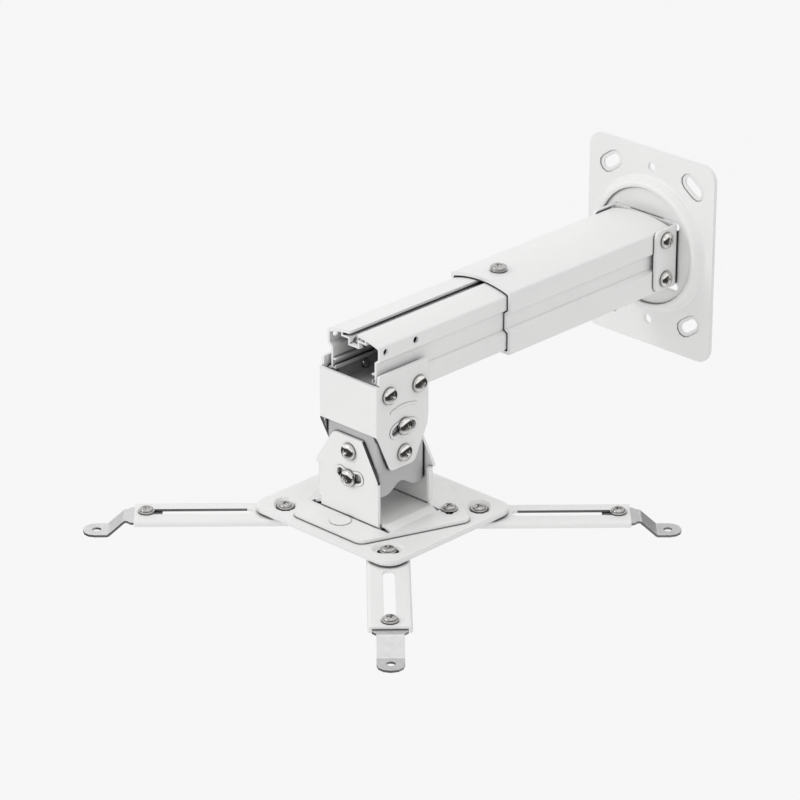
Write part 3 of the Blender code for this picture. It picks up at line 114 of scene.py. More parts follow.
class NodeGraph:
    """A material's node tree with short calls for adding and joining nodes."""

    def __init__(self, name: str) -> None:
        """Makes the material with an empty principled shader.

        Args:
            name: the material's name.
        """
        self.material = bpy.data.materials.new(name)
        self.material.use_nodes = True
        self.tree = self.material.node_tree
        self.shader = self.tree.nodes["Principled BSDF"]
        self.where = self.tree.nodes.new("ShaderNodeTexCoord").outputs["Object"]

    def add(self, kind: str, **settings: object) -> bpy.types.Node:
        """Adds a node.

        Args:
            kind: the node's type.
            settings: its properties.

        Returns:
            The node.
        """
        node = self.tree.nodes.new(kind)
        for name, value in settings.items():
            setattr(node, name, value)
        return node

    def join(self, source: bpy.types.NodeSocket, target: bpy.types.NodeSocket) -> None:
        """Links one socket to another."""
        self.tree.links.new(source, target)

    def noise(self, scale: float, detail: float = 2.0, roughness: float = 0.5,
              stretch: Spot | None = None) -> bpy.types.NodeSocket:
        """Adds a noise read in object space.

        Args:
            scale: waves per metre.
            detail: how many finer layers it has.
            roughness: how strong those layers are.
            stretch: a scale for each axis, or None.

        Returns:
            The noise's value, about 0.5 in the middle.
        """
        node = self.add("ShaderNodeTexNoise")
        node.inputs["Scale"].default_value = scale
        node.inputs["Detail"].default_value = detail
        node.inputs["Roughness"].default_value = roughness
        if stretch is None:
            self.join(self.where, node.inputs["Vector"])
        else:
            mapping = self.add("ShaderNodeMapping")
            mapping.inputs["Scale"].default_value = stretch
            self.join(self.where, mapping.inputs["Vector"])
            self.join(mapping.outputs["Vector"], node.inputs["Vector"])
        return node.outputs["Fac"]

    def spread(self, value: bpy.types.NodeSocket, low: float, high: float,
               start: float = 0.35, end: float = 0.65) -> bpy.types.NodeSocket:
        """Maps a noise onto a range.

        Args:
            value: the noise.
            low: what its low end becomes.
            high: what its high end becomes.
            start: the noise's low end.
            end: the noise's high end.

        Returns:
            The mapped value.
        """
        node = self.add("ShaderNodeMapRange")
        for name, number in (("From Min", start), ("From Max", end), ("To Min", low), ("To Max", high)):
            node.inputs[name].default_value = number
        self.join(value, node.inputs["Value"])
        return node.outputs["Result"]

    def tint(self, share: bpy.types.NodeSocket, first: Colour, second: Colour) -> bpy.types.NodeSocket:
        """Blends two colours.

        Args:
            share: 0 for the first and 1 for the second.
            first: a colour.
            second: a colour.

        Returns:
            The blended colour.
        """
        node = self.add("ShaderNodeMix", data_type="RGBA")
        self.join(share, node.inputs["Factor"])
        node.inputs[6].default_value = (*first, 1.0)
        node.inputs[7].default_value = (*second, 1.0)
        return node.outputs[2]

    def shade(self, colour: bpy.types.NodeSocket, shading: Shading) -> bpy.types.NodeSocket:
        """Paints shade into a colour where other surfaces stand close, as in gaps and inside tubes.

        Args:
            colour: the colour in the open.
            shading: how far and how much.

        Returns:
            The darkened colour.
        """
        node = self.add("ShaderNodeAmbientOcclusion", samples=8)
        node.inputs["Distance"].default_value = shading.reach
        share = self.spread(node.outputs["AO"], shading.deep, 1.0, *shading.limits)
        mix = self.add("ShaderNodeMix", data_type="RGBA")
        self.join(share, mix.inputs["Factor"])
        mix.inputs[6].default_value = (0.0, 0.0, 0.0, 1.0)
        self.join(colour, mix.inputs[7])
        return mix.outputs[2]

    def relief(self, height: bpy.types.NodeSocket, depth: float, strength: float,
               edge: float = 0.0) -> None:
        """Raises the surface by a height and softens its edges.

        Args:
            height: the height, about 0 to 1.
            depth: how tall 1 is, in metres.
            strength: the share of it that shows.
            edge: the radius to which edges look rounded.
        """
        bump = self.add("ShaderNodeBump")
        bump.inputs["Strength"].default_value = strength
        bump.inputs["Distance"].default_value = depth
        self.join(height, bump.inputs["Height"])
        if edge > 0:
            bevel = self.add("ShaderNodeBevel", samples=6)
            bevel.inputs["Radius"].default_value = edge
            self.join(bevel.outputs["Normal"], bump.inputs["Normal"])
        self.join(bump.outputs["Normal"], self.shader.inputs["Normal"])


@dataclass(frozen=True)
class PowderCoat:
    """White powder coat on pressed steel: a fine orange-peel skin over rounded sheet edges, with painted
    shade in hollows and seams.
    """

    name: str
    peel: float = 900.0
    depth: float = 0.00003
    skin: float = 0.35
    cloud: float = 26.0
    sheen: float = 140.0
    edge: float = 0.0005
    bright: Colour = (0.880, 0.878, 0.872)
    soft: Colour = (0.862, 0.860, 0.856)
    gloss: tuple[float, float] = (0.36, 0.50)
    # painted shade: the coat's colour darkens in hollows and narrow seams where surfaces stand close
    painted_hollow_shade: Shading = field(default_factory=lambda: Shading(0.045, 0.24, (0.02, 0.31)))
    painted_seam_shade: Shading = field(default_factory=lambda: Shading(0.002, 0.06, (0.47, 0.80)))

    def material(self) -> bpy.types.Material:
        """Returns the finish as a material."""
        graph = NodeGraph(self.name)
        shade = graph.spread(graph.noise(self.cloud, 4.0), 0.0, 1.0)
        paint = graph.tint(shade, self.bright, self.soft)
        # paint shade into the colour in hollows and seams
        for shading in (self.painted_hollow_shade, self.painted_seam_shade):
            paint = graph.shade(paint, shading)
        graph.join(paint, graph.shader.inputs["Base Color"])
        rough = graph.spread(graph.noise(self.sheen, 3.0), *self.gloss)
        graph.join(rough, graph.shader.inputs["Roughness"])
        graph.relief(graph.noise(self.peel, 3.0, 0.55), self.depth, self.skin, self.edge)
        return graph.material


@dataclass(frozen=True)
class ToolMarks:
    """How far and which way a metal's fine lines run."""

    density: float = 1400.0
    along: Spot = (1.0, 1.0, 1.0)
    depth: float = 0.00001


@dataclass(frozen=True)
class PlatedMetal:
    """Nickel or zinc plate: clean metal with faint handling marks."""

    name: str
    bright: Colour
    dull: Colour
    gloss: tuple[float, float]
    marks: ToolMarks = field(default_factory=ToolMarks)
    cloud: float = 210.0
    edge: float = 0.0002
    wear: float = 0.4

    def material(self) -> bpy.types.Material:
        """Returns the finish as a material."""
        graph = NodeGraph(self.name)
        shade = graph.spread(graph.noise(self.cloud, 4.0, 0.6), 0.0, 1.0)
        graph.join(graph.tint(shade, self.bright, self.dull), graph.shader.inputs["Base Color"])
        graph.shader.inputs["Metallic"].default_value = 1.0
        smear = graph.noise(self.marks.density, 3.0, 0.6, self.marks.along)
        graph.join(graph.spread(smear, *self.gloss), graph.shader.inputs["Roughness"])
        graph.relief(smear, self.marks.depth, self.wear, self.edge)
        return graph.material


@dataclass
class Finishes:
    """The object's materials, each made once and shared by the pieces that have it."""

    made: dict[str, bpy.types.Material] = field(default_factory=dict)

    def coat(self) -> bpy.types.Material:
        """The white powder coat."""
        return self._once(PowderCoat("coat_white"))

    def shadow(self) -> bpy.types.Material:
        """A near-black copy of the coat on cut edges that face a narrow gap: painted shadow."""
        return self._once(PowderCoat("coat_painted_gap_shadow", bright=(0.06, 0.06, 0.06), soft=(0.04, 0.04, 0.04)))

    def shade(self) -> bpy.types.Material:
        """A dark copy of the coat on the walls of a slot: painted shade."""
        return self._once(PowderCoat("coat_painted_slot_shade", bright=(0.16, 0.16, 0.16), soft=(0.12, 0.12, 0.12)))

    def inner(self) -> bpy.types.Material:
        """A darker copy of the white coat on the knuckle: painted shade for the other sheets' shade."""
        # painted shade: grey copy of the white coat
        return self._once(PowderCoat("coat_painted_knuckle_shade", bright=(0.55, 0.55, 0.55), soft=(0.51, 0.51, 0.51),
                                     painted_hollow_shade=Shading(0.030, 0.55, (0.02, 0.30))))

    def nickel(self) -> bpy.types.Material:
        """The screws' bright nickel."""
        bright, dull = (0.80, 0.79, 0.77), (0.68, 0.67, 0.65)
        return self._once(PlatedMetal("nickel_plate", bright, dull, (0.08, 0.18)))

    def zinc(self) -> bpy.types.Material:
        """A darker copy of the screw nickel for the screws that lie flat on the plates and arms: painted
        shade that dims their reflection.
        """
        # painted shade: a darker copy of the screw nickel
        bright, dull = (0.46, 0.455, 0.45), (0.38, 0.375, 0.37)
        return self._once(PlatedMetal("nickel_painted_shade", bright, dull, (0.10, 0.20)))

    def steel(self) -> bpy.types.Material:
        """The feet's bright zinc plate."""
        bright, dull = (0.66, 0.66, 0.66), (0.60, 0.60, 0.60)
        marks = ToolMarks(density=420.0, depth=0.000003)
        finish = PlatedMetal("bright_zinc", bright, dull, (0.36, 0.42), marks, edge=0.0004, wear=0.1)
        return self._once(finish)

    def _once(self, finish: PowderCoat | PlatedMetal) -> bpy.types.Material:
        """Returns the finish's material, made at its first use."""
        if finish.name not in self.made:
            self.made[finish.name] = finish.material()
        return self.made[finish.name]


# Shaping


def smooth(mesh: bpy.types.Mesh, degrees: float) -> None:
    """Shades a mesh smooth up to an angle between faces."""
    mesh.shade_smooth()
    mesh.set_sharp_from_angle(angle=math.radians(degrees))


def rounded_box(half: Vector, radius: float, steps: int = 10) -> Iterator[tuple[float, float]]:
    """Yields a rounded rectangle's points, once round.

    Args:
        half: half its width and depth.
        radius: its corners' radius.
        steps: how many parts each corner has.
    """
    for quarter, (u, v) in enumerate(((1, 1), (-1, 1), (-1, -1), (1, -1))):
        for i in range(steps + 1):
            turn = math.pi / 2 * (quarter + i / steps)
            yield (u * (half.x - radius) + radius * math.cos(turn),
                   v * (half.y - radius) + radius * math.sin(turn))


def centre_of(node: str) -> Vector:
    """The middle of a CAD node's box."""
    low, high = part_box(node)
    return (low + high) / 2


@dataclass
class CrossScrew:
    """A pan-head screw with a tapered cross recess and a captive washer."""

    head: float = 0.0095
    height: float = 0.0034
    shank: float = 0.0050
    length: float = 0.0080
    washer: float = 0.0104
    washer_sheet: float = 0.0009
    recess_reach: float = 0.0025
    recess_arm: float = 0.0011
    recess_depth: float = 0.0018
    recess_over: float = 0.0004
    recess_taper: tuple[float, float] = (0.45, 0.55)
    rim_share: float = 0.46
    crown: tuple[float, float] = (84.0, 0.9)
    crown_steps: int = 9
    thread: tuple[float, float] = (0.0008, 0.0003)
    round: float = 0.0003
    bevel: float = 0.0002
    sides: int = 56

    def mesh(self, name: str) -> bpy.types.Mesh:
        """Builds the screw with its seat at Z = 0 and its head upwards.

        Args:
            name: the mesh's name.

        Returns:
            The mesh.
        """
        body = self._spun(name, self._profile())
        for turn in (0.0, math.pi / 2):
            self._carve(body, self._wing(turn))
        mesh = bpy.data.meshes.new_from_object(
            body.evaluated_get(bpy.context.evaluated_depsgraph_get())
        )
        bpy.data.objects.remove(body, do_unlink=True)
        mesh.name = name
        return mesh

    def _profile(self) -> list[tuple[float, float]]:
        """The head, washer and shank in section, from the top's middle outwards and down."""
        radius, rim = self.head / 2, self.height * self.rim_share
        base = self.washer_sheet if self.washer > self.head else 0.0
        points = [(0.0, self.height)]
        angle, fullness = self.crown
        for i in range(self.crown_steps, -1, -1):
            turn = math.radians(angle) * i / self.crown_steps
            points.append((radius * math.cos(turn) ** fullness, rim + (self.height - rim) * math.sin(turn)))
        points += [(radius, base + self.round), (radius - self.bevel, base + self.bevel / 2)]
        if base > 0:
            outer = self.washer / 2
            points += [(outer - self.round, base), (outer, base - self.bevel)]
            points += [(outer, self.bevel), (outer - self.bevel, 0.0)]
        pitch, groove = self.thread
        grip, turns = self.shank / 2, max(3, int(self.length / pitch))
        points.append((grip, 0.0))
        for i in range(turns):
            level = -self.length * (i + 0.5) / turns
            points += [(grip - groove, level), (grip, level - self.length * 0.5 / turns)]
        return points + [(0.0, -self.length)]

    def _spun(self, name: str, profile: list[tuple[float, float]]) -> bpy.types.Object:
        """Turns a profile about Z.

        Args:
            name: the object's name.
            profile: (radius, height) points from top to bottom.

        Returns:
            The turned object.
        """
        mesh = bpy.data.meshes.new(name)
        shape = bmesh.new()
        line = [shape.verts.new((radius, 0.0, height)) for radius, height in profile]
        edges = [shape.edges.new(pair) for pair in zip(line, line[1:])]
        bmesh.ops.spin(shape, geom=line + edges, cent=(0, 0, 0), axis=(0, 0, 1), angle=math.tau,
                       steps=self.sides, use_merge=True)
        bmesh.ops.remove_doubles(shape, verts=shape.verts, dist=1e-7)
        bmesh.ops.recalc_face_normals(shape, faces=shape.faces)
        shape.to_mesh(mesh)
        shape.free()
        item = bpy.data.objects.new(name, mesh)
        bpy.context.scene.collection.objects.link(item)
        return item

    def _wing(self, turn: float) -> bpy.types.Object:
        """One arm pair of the recess: a wedge that narrows towards its bottom.

        Args:
            turn: the wedge's turn about Z, in radians.

        Returns:
            The wedge.
        """
        mesh = bpy.data.meshes.new("wing")
        shape = bmesh.new()
        bmesh.ops.create_cube(shape, size=1.0)
        shorter, narrower = self.recess_taper
        for vert in shape.verts:
            top = vert.co.z > 0
            reach = self.recess_reach if top else self.recess_reach * shorter
            arm = self.recess_arm if top else self.recess_arm * narrower
            level = self.height + self.recess_over if top else self.height - self.recess_depth
            vert.co = (math.copysign(reach, vert.co.x), math.copysign(arm / 2, vert.co.y), level)
        shape.to_mesh(mesh)
        shape.free()
        mesh.transform(Matrix.Rotation(turn, 4, "Z"))
        item = bpy.data.objects.new("wing", mesh)
        bpy.context.scene.collection.objects.link(item)
        return item

    def _carve(self, body: bpy.types.Object, tool: bpy.types.Object) -> None:
        """Takes the tool out of the body and removes the tool."""
        step = body.modifiers.new("recess", "BOOLEAN")
        step.object = tool
        step.solver = "EXACT"
        bpy.context.view_layer.update()
        mesh = bpy.data.meshes.new_from_object(
            body.evaluated_get(bpy.context.evaluated_depsgraph_get())
        )
        body.modifiers.clear()
        body.data = mesh
        bpy.data.objects.remove(tool, do_unlink=True)


@dataclass
class ScrewSet:
    """Places detailed screws over the frame's plain ones."""

    finishes: Finishes
    placed: int = 0
    meshes: dict[tuple[float, ...], bpy.types.Mesh] = field(default_factory=dict)

    def fit(self, node: str, body: str, facing: Facing, pattern: CrossScrew,
            turn: float) -> bpy.types.Object:
        """Replaces one plain screw.

        Args:
            node: the CAD screw it stands for.
            body: the body it rides on.
            facing: the way its head points.
            pattern: the screw's sizes; its length is taken from the node.
            turn: how far its cross is turned, in degrees.

        Returns:
            The placed screw.
        """
        low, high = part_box(node)
        way = Vector(facing.value)
        along = max(range(3), key=lambda i: abs(way[i]))
        reach = high[along] - low[along]
        sized = replace(pattern, length=reach - pattern.height)
        key = (sized.head, sized.height, sized.shank, round(sized.length, 5), sized.washer)
        if key not in self.meshes:
            mesh = sized.mesh(f"screw_{len(self.meshes)}")
            # up-facing screws get the darker copy of the nickel as painted shade
            flat = facing is Facing.UP
            mesh.materials.append(self.finishes.zinc() if flat else self.finishes.nickel())
            smooth(mesh, SCREW_SMOOTH)
            self.meshes[key] = mesh
        item = bpy.data.objects.new(f"{node}_detail", self.meshes[key])
        bpy.context.scene.collection.objects.link(item)
        top = high[along] if way[along] > 0 else low[along]
        seat = centre_of(node)
        seat[along] = top - way[along] * sized.height
        aim = way.to_track_quat("Z", "Y").to_matrix().to_4x4()
        item.matrix_world = Matrix.Translation(seat) @ aim @ Matrix.Rotation(math.radians(turn), 4, "Z")
        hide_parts(node)
        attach(item, body)
        self.placed += 1
        return item


def dress(frame: dict, node: str, material: bpy.types.Material) -> None:
    """Gives a CAD node its finish.

    Args:
        node: the node's name.
        material: the finish.
    """
    item = frame["nodes"][node]
    item.data.materials.clear()
    item.data.materials.append(material)
    log.info("dressed %s", node)


def paint_edge_shade(frame: dict, node: str, dark: bpy.types.Material,
                pick: Callable[[Vector, Vector], bool]) -> None:
    """Paints shade onto the cut edges that lie in shadow, with a dark copy of the coat.

    Args:
        node: the node's name.
        dark: the dark copy of the coat that paints the shade.
        pick: tells by a face's middle and normal, in the world, whether it is such an edge.
    """
    item = frame["nodes"][node]
    item.data.materials.append(dark)
    place, turn = item.matrix_world, item.matrix_world.to_3x3()
    for face in item.data.polygons:
        if pick(place @ face.center, (turn @ face.normal).normalized()):
            face.material_index = 1


# Sub-assemblies


@dataclass
class WallGroup:
    """The wall plate with the foot of the tube and its screws."""

    frame: dict
    finishes: Finishes
    screws: ScrewSet
    ear_screw: CrossScrew = field(default_factory=lambda: CrossScrew(washer=0.0, head=0.0092))
    turns: tuple[float, ...] = (18.0, 64.0, 30.0, 75.0)

    def build(self) -> None:
        """Fits the ear screws."""
        turns = iter(self.turns)
        for side, facing in (("left", Facing.LEFT), ("right", Facing.RIGHT)):
            for level in ("lower", "upper"):
                self.screws.fit(f"foot_screw_{side}_{level}", "outer", facing, self.ear_screw, next(turns))
        log.info("wall group: ear screws fitted")

    def dress(self) -> None:
        """Coats the plate and the foot."""
        for node in ("wall_plate", "tube_foot"):
            dress(self.frame, node, self.finishes.coat())
        for node in ("swivel_bolt", "swivel_nut"):
            dress(self.frame, node, self.finishes.steel())


@dataclass
class Telescope:
    """The two tubes and the screw that locks them."""

    frame: dict
    finishes: Finishes
    screws: ScrewSet
    lock_screw: CrossScrew = field(default_factory=lambda: CrossScrew(washer=0.0096, shank=0.0040))
    turn: float = 25.0

    def build(self) -> None:
        """Fits the lock screw."""
        self.screws.fit("slide_lock_screw", "outer", Facing.UP, self.lock_screw, self.turn)
        log.info("telescope: lock screw fitted")

    def dress(self) -> None:
        """Coats the tubes."""
        for node in ("outer_tube", "inner_tube"):
            dress(self.frame, node, self.finishes.coat())
        dress(self.frame, "slide_nut", self.finishes.steel())


@dataclass
class TiltHead:
    """Neck, knuckle and lower bracket with their screws."""

    frame: dict
    finishes: Finishes
    screws: ScrewSet
    tilt_screw: CrossScrew = field(default_factory=lambda: CrossScrew(washer=0.0))
    first_turn: float = 12.0
    next_turn: float = 37.0

    def build(self) -> None:
        """Fits the neck's screws and the tilt screws."""
        for index, (node, body, facing) in enumerate(self._places()):
            turn = self.first_turn + self.next_turn * index
            self.screws.fit(node, body, facing, self.tilt_screw, turn)
        log.info("tilt head: screws fitted")

    def _places(self) -> Iterator[tuple[str, str, Facing]]:
        """Yields each screw's node, body and facing."""
        for side, facing in (("left", Facing.LEFT), ("right", Facing.RIGHT)):
            for place in ("front", "back"):
                yield f"neck_screw_{side}_{place}", "inner", facing
            for kind in ("pivot", "lock"):
                yield f"pitch_{kind}_screw_{side}", "knuckle_body", facing
        for place, facing in (("front", Facing.FRONT), ("back", Facing.BACK)):
            for kind in ("pivot", "lock"):
                yield f"roll_{kind}_screw_{place}", "knuckle_body", facing

    def dress(self) -> None:
        """Coats the folded sheets: the cut edges that face a gap get painted shadow, and the knuckle a
        darker copy of the coat as painted shade.
        """
        for node in ("neck_bracket", "lower_bracket"):
            dress(self.frame, node, self.finishes.coat())
        # painted shade: the knuckle gets a darker copy of the coat
        dress(self.frame, "knuckle", self.finishes.inner())
        dark, front = self.finishes.shadow(), centre_of("knuckle").y
        # painted shadow: near-black coat on the neck's and lower bracket's cut edges that face a gap
        paint_edge_shade(self.frame, "neck_bracket", dark, lambda spot, way: way.y < -0.3 and way.z < -0.2)
        paint_edge_shade(self.frame, "lower_bracket", dark,
                    lambda spot, way: spot.y < front and way.x > 0.5 and way.z > 0.2)


@dataclass
class Plates:
    """Adapter plate and projector plate with their screws."""

    frame: dict
    finishes: Finishes
    screws: ScrewSet
    corner_screw: CrossScrew = field(
        default_factory=lambda: CrossScrew(head=0.0078, height=0.0029, shank=0.0040, washer=0.0094)
    )
    arm_turns: tuple[float, float] = (20.0, 31.0)
    adapter_turns: tuple[float, float] = (50.0, -40.0)
    sheet: float = 0.0020
    corner: float = 0.0095
    lip: float = 0.0011
    lip_wall: float = 0.0015
    lip_round: float = 0.0004

    def build(self) -> None:
        """Fits the corner screws and the adapter's screws, and adds the lip."""
        arms = [f"arm_screw_{corner}" for corner in corners()]
        adapters = [f"adapter_screw_{side}" for side in ("left", "right")]
        for names, (first, step) in ((arms, self.arm_turns), (adapters, self.adapter_turns)):
            for index, name in enumerate(names):
                self.screws.fit(name, "head", Facing.UP, self.corner_screw, first + step * index)
        log.info("plates: screws fitted")
        self._lip()

    def _lip(self) -> None:
        """Adds the projector plate's turned-down lip, a thin ring under its edge."""
        low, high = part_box("projector_plate")
        top = high.z - self.sheet
        foot, wall, turn = top - self.lip, self.lip_wall, self.lip_round
        middle, half = (low + high) / 2, (high - low) / 2
        rings = []
        for inset, level in ((0.0, top), (0.0, foot + turn), (turn, foot),
                             (wall - turn, foot), (wall, foot + turn), (wall, top)):
            outline = rounded_box(Vector((half.x - inset, half.y - inset)), self.corner - inset)
            rings.append([Vector((middle.x + u, middle.y + v, level)) for u, v in outline])
        mesh = bpy.data.meshes.new("plate_lip")
        shape = bmesh.new()
        loops = [[shape.verts.new(spot) for spot in ring] for ring in rings]
        for first, second in zip(loops, loops[1:] + loops[:1]):
            for i in range(len(first)):
                j = (i + 1) % len(first)
                shape.faces.new((first[i], first[j], second[j], second[i]))
        bmesh.ops.recalc_face_normals(shape, faces=shape.faces)
        shape.to_mesh(mesh)
        shape.free()
        mesh.materials.append(self.finishes.coat())
        smooth(mesh, LIP_SMOOTH)
        item = bpy.data.objects.new("plate_lip", mesh)
        bpy.context.scene.collection.objects.link(item)
        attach(item, "head")
        log.info("plates: lip added")

    def dress(self) -> None:
        """Coats the plates and plates the nuts."""
        for node in ("adapter_plate", "projector_plate"):
            dress(self.frame, node, self.finishes.coat())
        for corner in corners():
            dress(self.frame, f"arm_nut_{corner}", self.finishes.nickel())


@dataclass
class Arms:
    """The four swinging arms with their sliding feet."""

    frame: dict
    finishes: Finishes
    screws: ScrewSet
    clamp_screw: CrossScrew = field(
        default_factory=lambda: CrossScrew(head=0.0078, height=0.0028, shank=0.0040, washer=0.0092)
    )
    turns: tuple[float, float] = (40.0, 23.0)
    slot_half: float = 0.0036
    slot_span: tuple[float, float] = (0.0170, 0.0815)
    slot_skew: tuple[float, float] = (0.2, 0.3)
    open_slot: str = "front_right"

    def build(self) -> None:
        """Fits the clamp screws."""
        first, step = self.turns
        for index, corner in enumerate(corners()):
            body, turn = f"foot_body_{corner}", first + step * index
            self.screws.fit(f"clamp_screw_{corner}", body, Facing.UP, self.clamp_screw, turn)
        log.info("arms: clamp screws fitted")

    def _in_slot(self, spot: Vector, way: Vector, face: Vector) -> bool:
        """Tells whether a face is a long wall of the arm's slot.

        Args:
            spot: the face's middle, seen from the corner screw.
            way: the arm's heading.
            face: the face's normal.

        Returns:
            True for a long wall.
        """
        lean, skew = self.slot_skew
        upright = abs(face.z) < lean and abs(face.xy.dot(way)) < skew
        low, high = self.slot_span
        return upright and abs(way.cross(spot)) < self.slot_half and low < spot.dot(way) < high

    def dress(self) -> None:
        """Coats the arms and plates the feet: all slots but one get painted shade on their walls."""
        for corner in corners():
            dress(self.frame, f"arm_{corner}", self.finishes.coat())
            pivot = centre_of(f"arm_screw_{corner}")
            way = (centre_of(f"clamp_screw_{corner}") - pivot).xy.normalized()
            # painted shade: the long slot walls get a dark copy of the coat
            if corner != self.open_slot:
                paint_edge_shade(self.frame, f"arm_{corner}", self.finishes.shade(),
                            lambda spot, face: self._in_slot((spot - pivot).xy, way, face))
            dress(self.frame, f"foot_{corner}", self.finishes.steel())
            dress(self.frame, f"clamp_nut_{corner}", self.finishes.nickel())


def corners() -> Iterator[str]:
    """Yields the names of the projector plate's corners."""
    for row in ("front", "back"):
        for column in ("left", "right"):
            yield f"{row}_{column}"


# Studio


@dataclass
class Lamp:
    """One soft area lamp."""

    name: str
    place: Spot
    aim: Spot
    size: float
    power: float

    def hang(self) -> None:
        """Makes the lamp and points it."""
        light = bpy.data.lights.new(self.name, "AREA")
        light.shape = "SQUARE"
        light.size = self.size
        light.energy = self.power
        item = bpy.data.objects.new(self.name, light)
        item.location = self.place
        way = Vector(self.aim) - Vector(self.place)
        item.rotation_euler = way.to_track_quat("-Z", "Y").to_euler()
        bpy.context.scene.collection.objects.link(item)


@dataclass
class Studio:
    """Pale floor, even room light and two soft lamps."""

    floor_level: float = -0.60
    floor_half: float = 8.0
    floor_fall: Range = (0.5, 1.0, 0.85, 0.02)
    floor_even: float = 0.97
    pale: Colour = (0.930, 0.930, 0.930)
    room: float = 0.79
    sky: float = 0.82
    sun_side: Spot = (-0.40, -0.55, 0.73)
    far_left: Spot = (-0.60, 0.0, 0.0)
    horizon: float = 0.24
    mirror_fall: Range = (0.30, 0.44, 0.03, 1.10)
    lamps: tuple[Lamp, ...] = (
        Lamp("key_lamp", (-1.4, -3.0, 2.0), (0.0, -0.18, 0.0), 1.2, 26.0),
        Lamp("top_lamp", (0.3, 0.0, 3.0), (0.0, -0.18, 0.0), 1.6, 4.0),
    )

    def build(self) -> None:
        """Lays the floor, lights the room and hangs the lamps."""
        self._floor()
        self._room_light()
        for lamp in self.lamps:
            lamp.hang()
        log.info("studio: floor and %d lamps", len(self.lamps))

    def _floor(self) -> None:
        """Lays a wide pale floor, which the camera sees at one even tone."""
        mesh = bpy.data.meshes.new("floor")
        shape = bmesh.new()
        bmesh.ops.create_grid(shape, x_segments=4, y_segments=4, size=self.floor_half)
        shape.to_mesh(mesh)
        shape.free()
        item = bpy.data.objects.new("floor", mesh)
        item.location = (0.0, 0.0, self.floor_level)
        bpy.context.scene.collection.objects.link(item)
        item.data.materials.append(self._floor_material())

    def _floor_material(self) -> bpy.types.Material:
        """Returns a matt floor: evenly pale to the camera, dark far off to reflections."""
        material = bpy.data.materials.new("floor_pale")
        material.use_nodes = True
        tree = material.node_tree
        shader = tree.nodes["Principled BSDF"]
        shader.inputs["Base Color"].default_value = (*self.pale, 1.0)
        shader.inputs["Roughness"].default_value = 0.9
        where = tree.nodes.new("ShaderNodeTexCoord")
        length = tree.nodes.new("ShaderNodeVectorMath")
        length.operation = "LENGTH"
        tree.links.new(where.outputs["Object"], length.inputs[0])
        fall = self._ramp(tree, length.outputs["Value"], self.floor_fall)
        rays = tree.nodes.new("ShaderNodeLightPath")
        camera, glossy = rays.outputs["Is Camera Ray"], rays.outputs["Is Glossy Ray"]
        glow = tree.nodes.new("ShaderNodeEmission")
        tree.links.new(self._choose(tree, camera, fall, self.pale[0]), glow.inputs["Strength"])
        either = self._reckon(tree, "MAXIMUM", camera, glossy)
        share = self._reckon(tree, "MULTIPLY", either, self.floor_even)
        mix = tree.nodes.new("ShaderNodeMixShader")
        tree.links.new(share, mix.inputs[0])
        tree.links.new(shader.outputs[0], mix.inputs[1])
        tree.links.new(glow.outputs[0], mix.inputs[2])
        tree.links.new(mix.outputs[0], tree.nodes["Material Output"].inputs["Surface"])
        return material

    def _room_light(self) -> None:
        """Lights the room softly from the upper left; reflections see it dark near the horizon."""
        world = bpy.data.worlds.new("room")
        bpy.context.scene.world = world
        world.use_nodes = True
        tree = world.node_tree
        backdrop = tree.nodes["Background"]
        light = self._ramp(tree, self._towards(tree, self.sun_side), (-1.0, 1.0, self.room, self.sky))
        left = self._reckon(tree, "MAXIMUM", self._towards(tree, self.far_left), self.horizon)
        lift = self._reckon(tree, "ADD", self._towards(tree, (0.0, 0.0, 1.0)), left)
        mirror = self._ramp(tree, lift, self.mirror_fall, "SMOOTHSTEP")
        rays = tree.nodes.new("ShaderNodeLightPath")
        tone = self._choose(tree, rays.outputs["Is Glossy Ray"], light, mirror)
        seen = self._choose(tree, rays.outputs["Is Camera Ray"], tone, self.pale[0])
        tree.links.new(seen, backdrop.inputs["Strength"])
        backdrop.inputs["Color"].default_value = (1.0, 1.0, 1.0, 1.0)

    def _choose(self, tree: bpy.types.NodeTree, test: bpy.types.NodeSocket,
                otherwise: bpy.types.NodeSocket,
                value: bpy.types.NodeSocket | float) -> bpy.types.NodeSocket:
        """Gives one value where a test is 1 and another where it is 0.

        Args:
            tree: the node tree.
            test: 0 or 1.
            otherwise: the value for 0.
            value: the value for 1.

        Returns:
            The chosen value.
        """
        node = tree.nodes.new("ShaderNodeMix")
        tree.links.new(test, node.inputs["Factor"])
        tree.links.new(otherwise, node.inputs[2])
        self._feed(tree, value, node.inputs[3])
        return node.outputs[0]

    def _reckon(self, tree: bpy.types.NodeTree, operation: str, first: bpy.types.NodeSocket,
                second: bpy.types.NodeSocket | float) -> bpy.types.NodeSocket:
        """Works out one number from two.

        Args:
            tree: the node tree.
            operation: the sum's name.
            first: a number.
            second: a number.

        Returns:
            The result.
        """
        node = tree.nodes.new("ShaderNodeMath")
        node.operation = operation
        tree.links.new(first, node.inputs[0])
        self._feed(tree, second, node.inputs[1])
        return node.outputs[0]

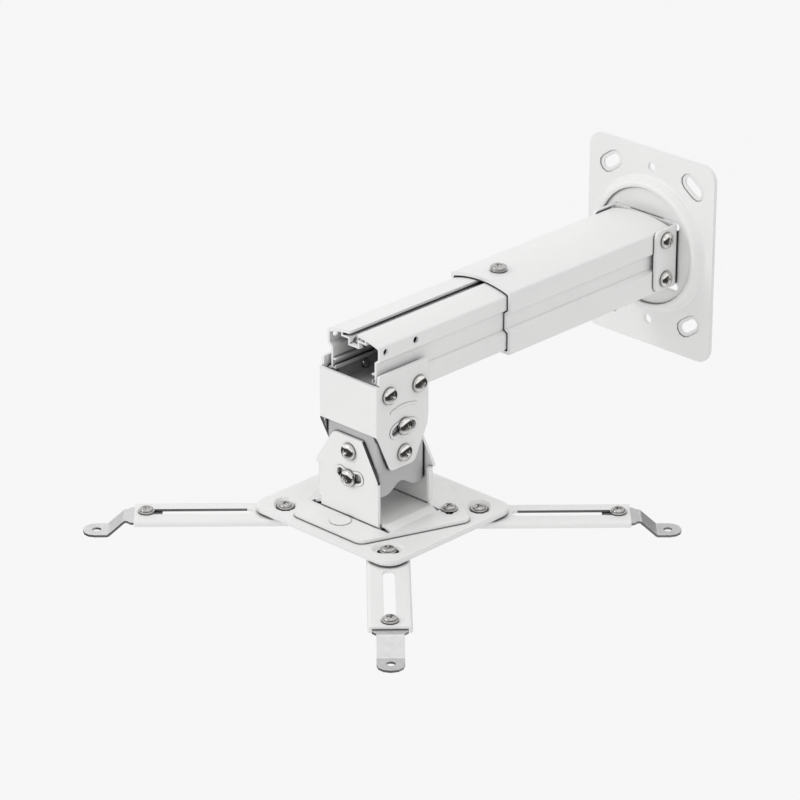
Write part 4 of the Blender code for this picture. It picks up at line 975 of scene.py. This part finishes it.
    def _ramp(self, tree: bpy.types.NodeTree, value: bpy.types.NodeSocket, limits: Range,
              course: str = "LINEAR") -> bpy.types.NodeSocket:
        """Maps a value from one range onto another.

        Args:
            tree: the node tree.
            value: the value.
            limits: the range's two ends, then what they become.
            course: how it runs between them.

        Returns:
            The mapped value.
        """
        node = tree.nodes.new("ShaderNodeMapRange")
        node.interpolation_type = course
        for name, number in zip(("From Min", "From Max", "To Min", "To Max"), limits):
            node.inputs[name].default_value = number
        tree.links.new(value, node.inputs["Value"])
        return node.outputs["Result"]

    def _towards(self, tree: bpy.types.NodeTree, way: Spot) -> bpy.types.NodeSocket:
        """How far a ray of the room points along a way.

        Args:
            tree: the room's node tree.
            way: the direction.

        Returns:
            The dot product of the two.
        """
        where = tree.nodes.new("ShaderNodeTexCoord")
        node = tree.nodes.new("ShaderNodeVectorMath")
        node.operation = "DOT_PRODUCT"
        tree.links.new(where.outputs["Generated"], node.inputs[0])
        node.inputs[1].default_value = way
        return node.outputs["Value"]

    def _feed(self, tree: bpy.types.NodeTree, value: bpy.types.NodeSocket | float,
              target: bpy.types.NodeSocket) -> None:
        """Links a value to a socket, or sets the socket to a number."""
        if isinstance(value, float):
            target.default_value = value
        else:
            tree.links.new(value, target)


@dataclass
class PhotoCamera:
    """The camera at the photograph's place, solved from the object's own straight edges."""

    place: Spot = (1.4128, -1.6714, 0.8844)
    azimuth: float = 44.07
    elevation: float = 24.29
    lens: float = 180.9
    sensor: float = 36.0

    def build(self) -> None:
        """Makes the camera and hands it to the scene."""
        data = bpy.data.cameras.new("photo_camera")
        data.lens = self.lens
        data.sensor_width = self.sensor
        data.clip_start, data.clip_end = 0.05, 60.0
        item = bpy.data.objects.new("photo_camera", data)
        item.location = self.place
        item.rotation_euler = (math.radians(90.0 - self.elevation), 0.0, math.radians(self.azimuth))
        bpy.context.scene.collection.objects.link(item)
        bpy.context.scene.camera = item
        bpy.context.scene.view_settings.view_transform = "Standard"


def main() -> None:
    """Builds the object's looks, then its studio."""
    logging.basicConfig(level=logging.INFO, format="%(message)s")
    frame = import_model()
    finishes = Finishes()
    screws = ScrewSet(finishes)
    groups = [kind(frame, finishes, screws) for kind in (WallGroup, Telescope, TiltHead, Plates, Arms)]
    for group in groups:
        group.build()
        group.dress()
    log.info("%d screws in all", screws.placed)
    Studio().build()
    PhotoCamera().build()


if __name__ == "__main__":
    main()
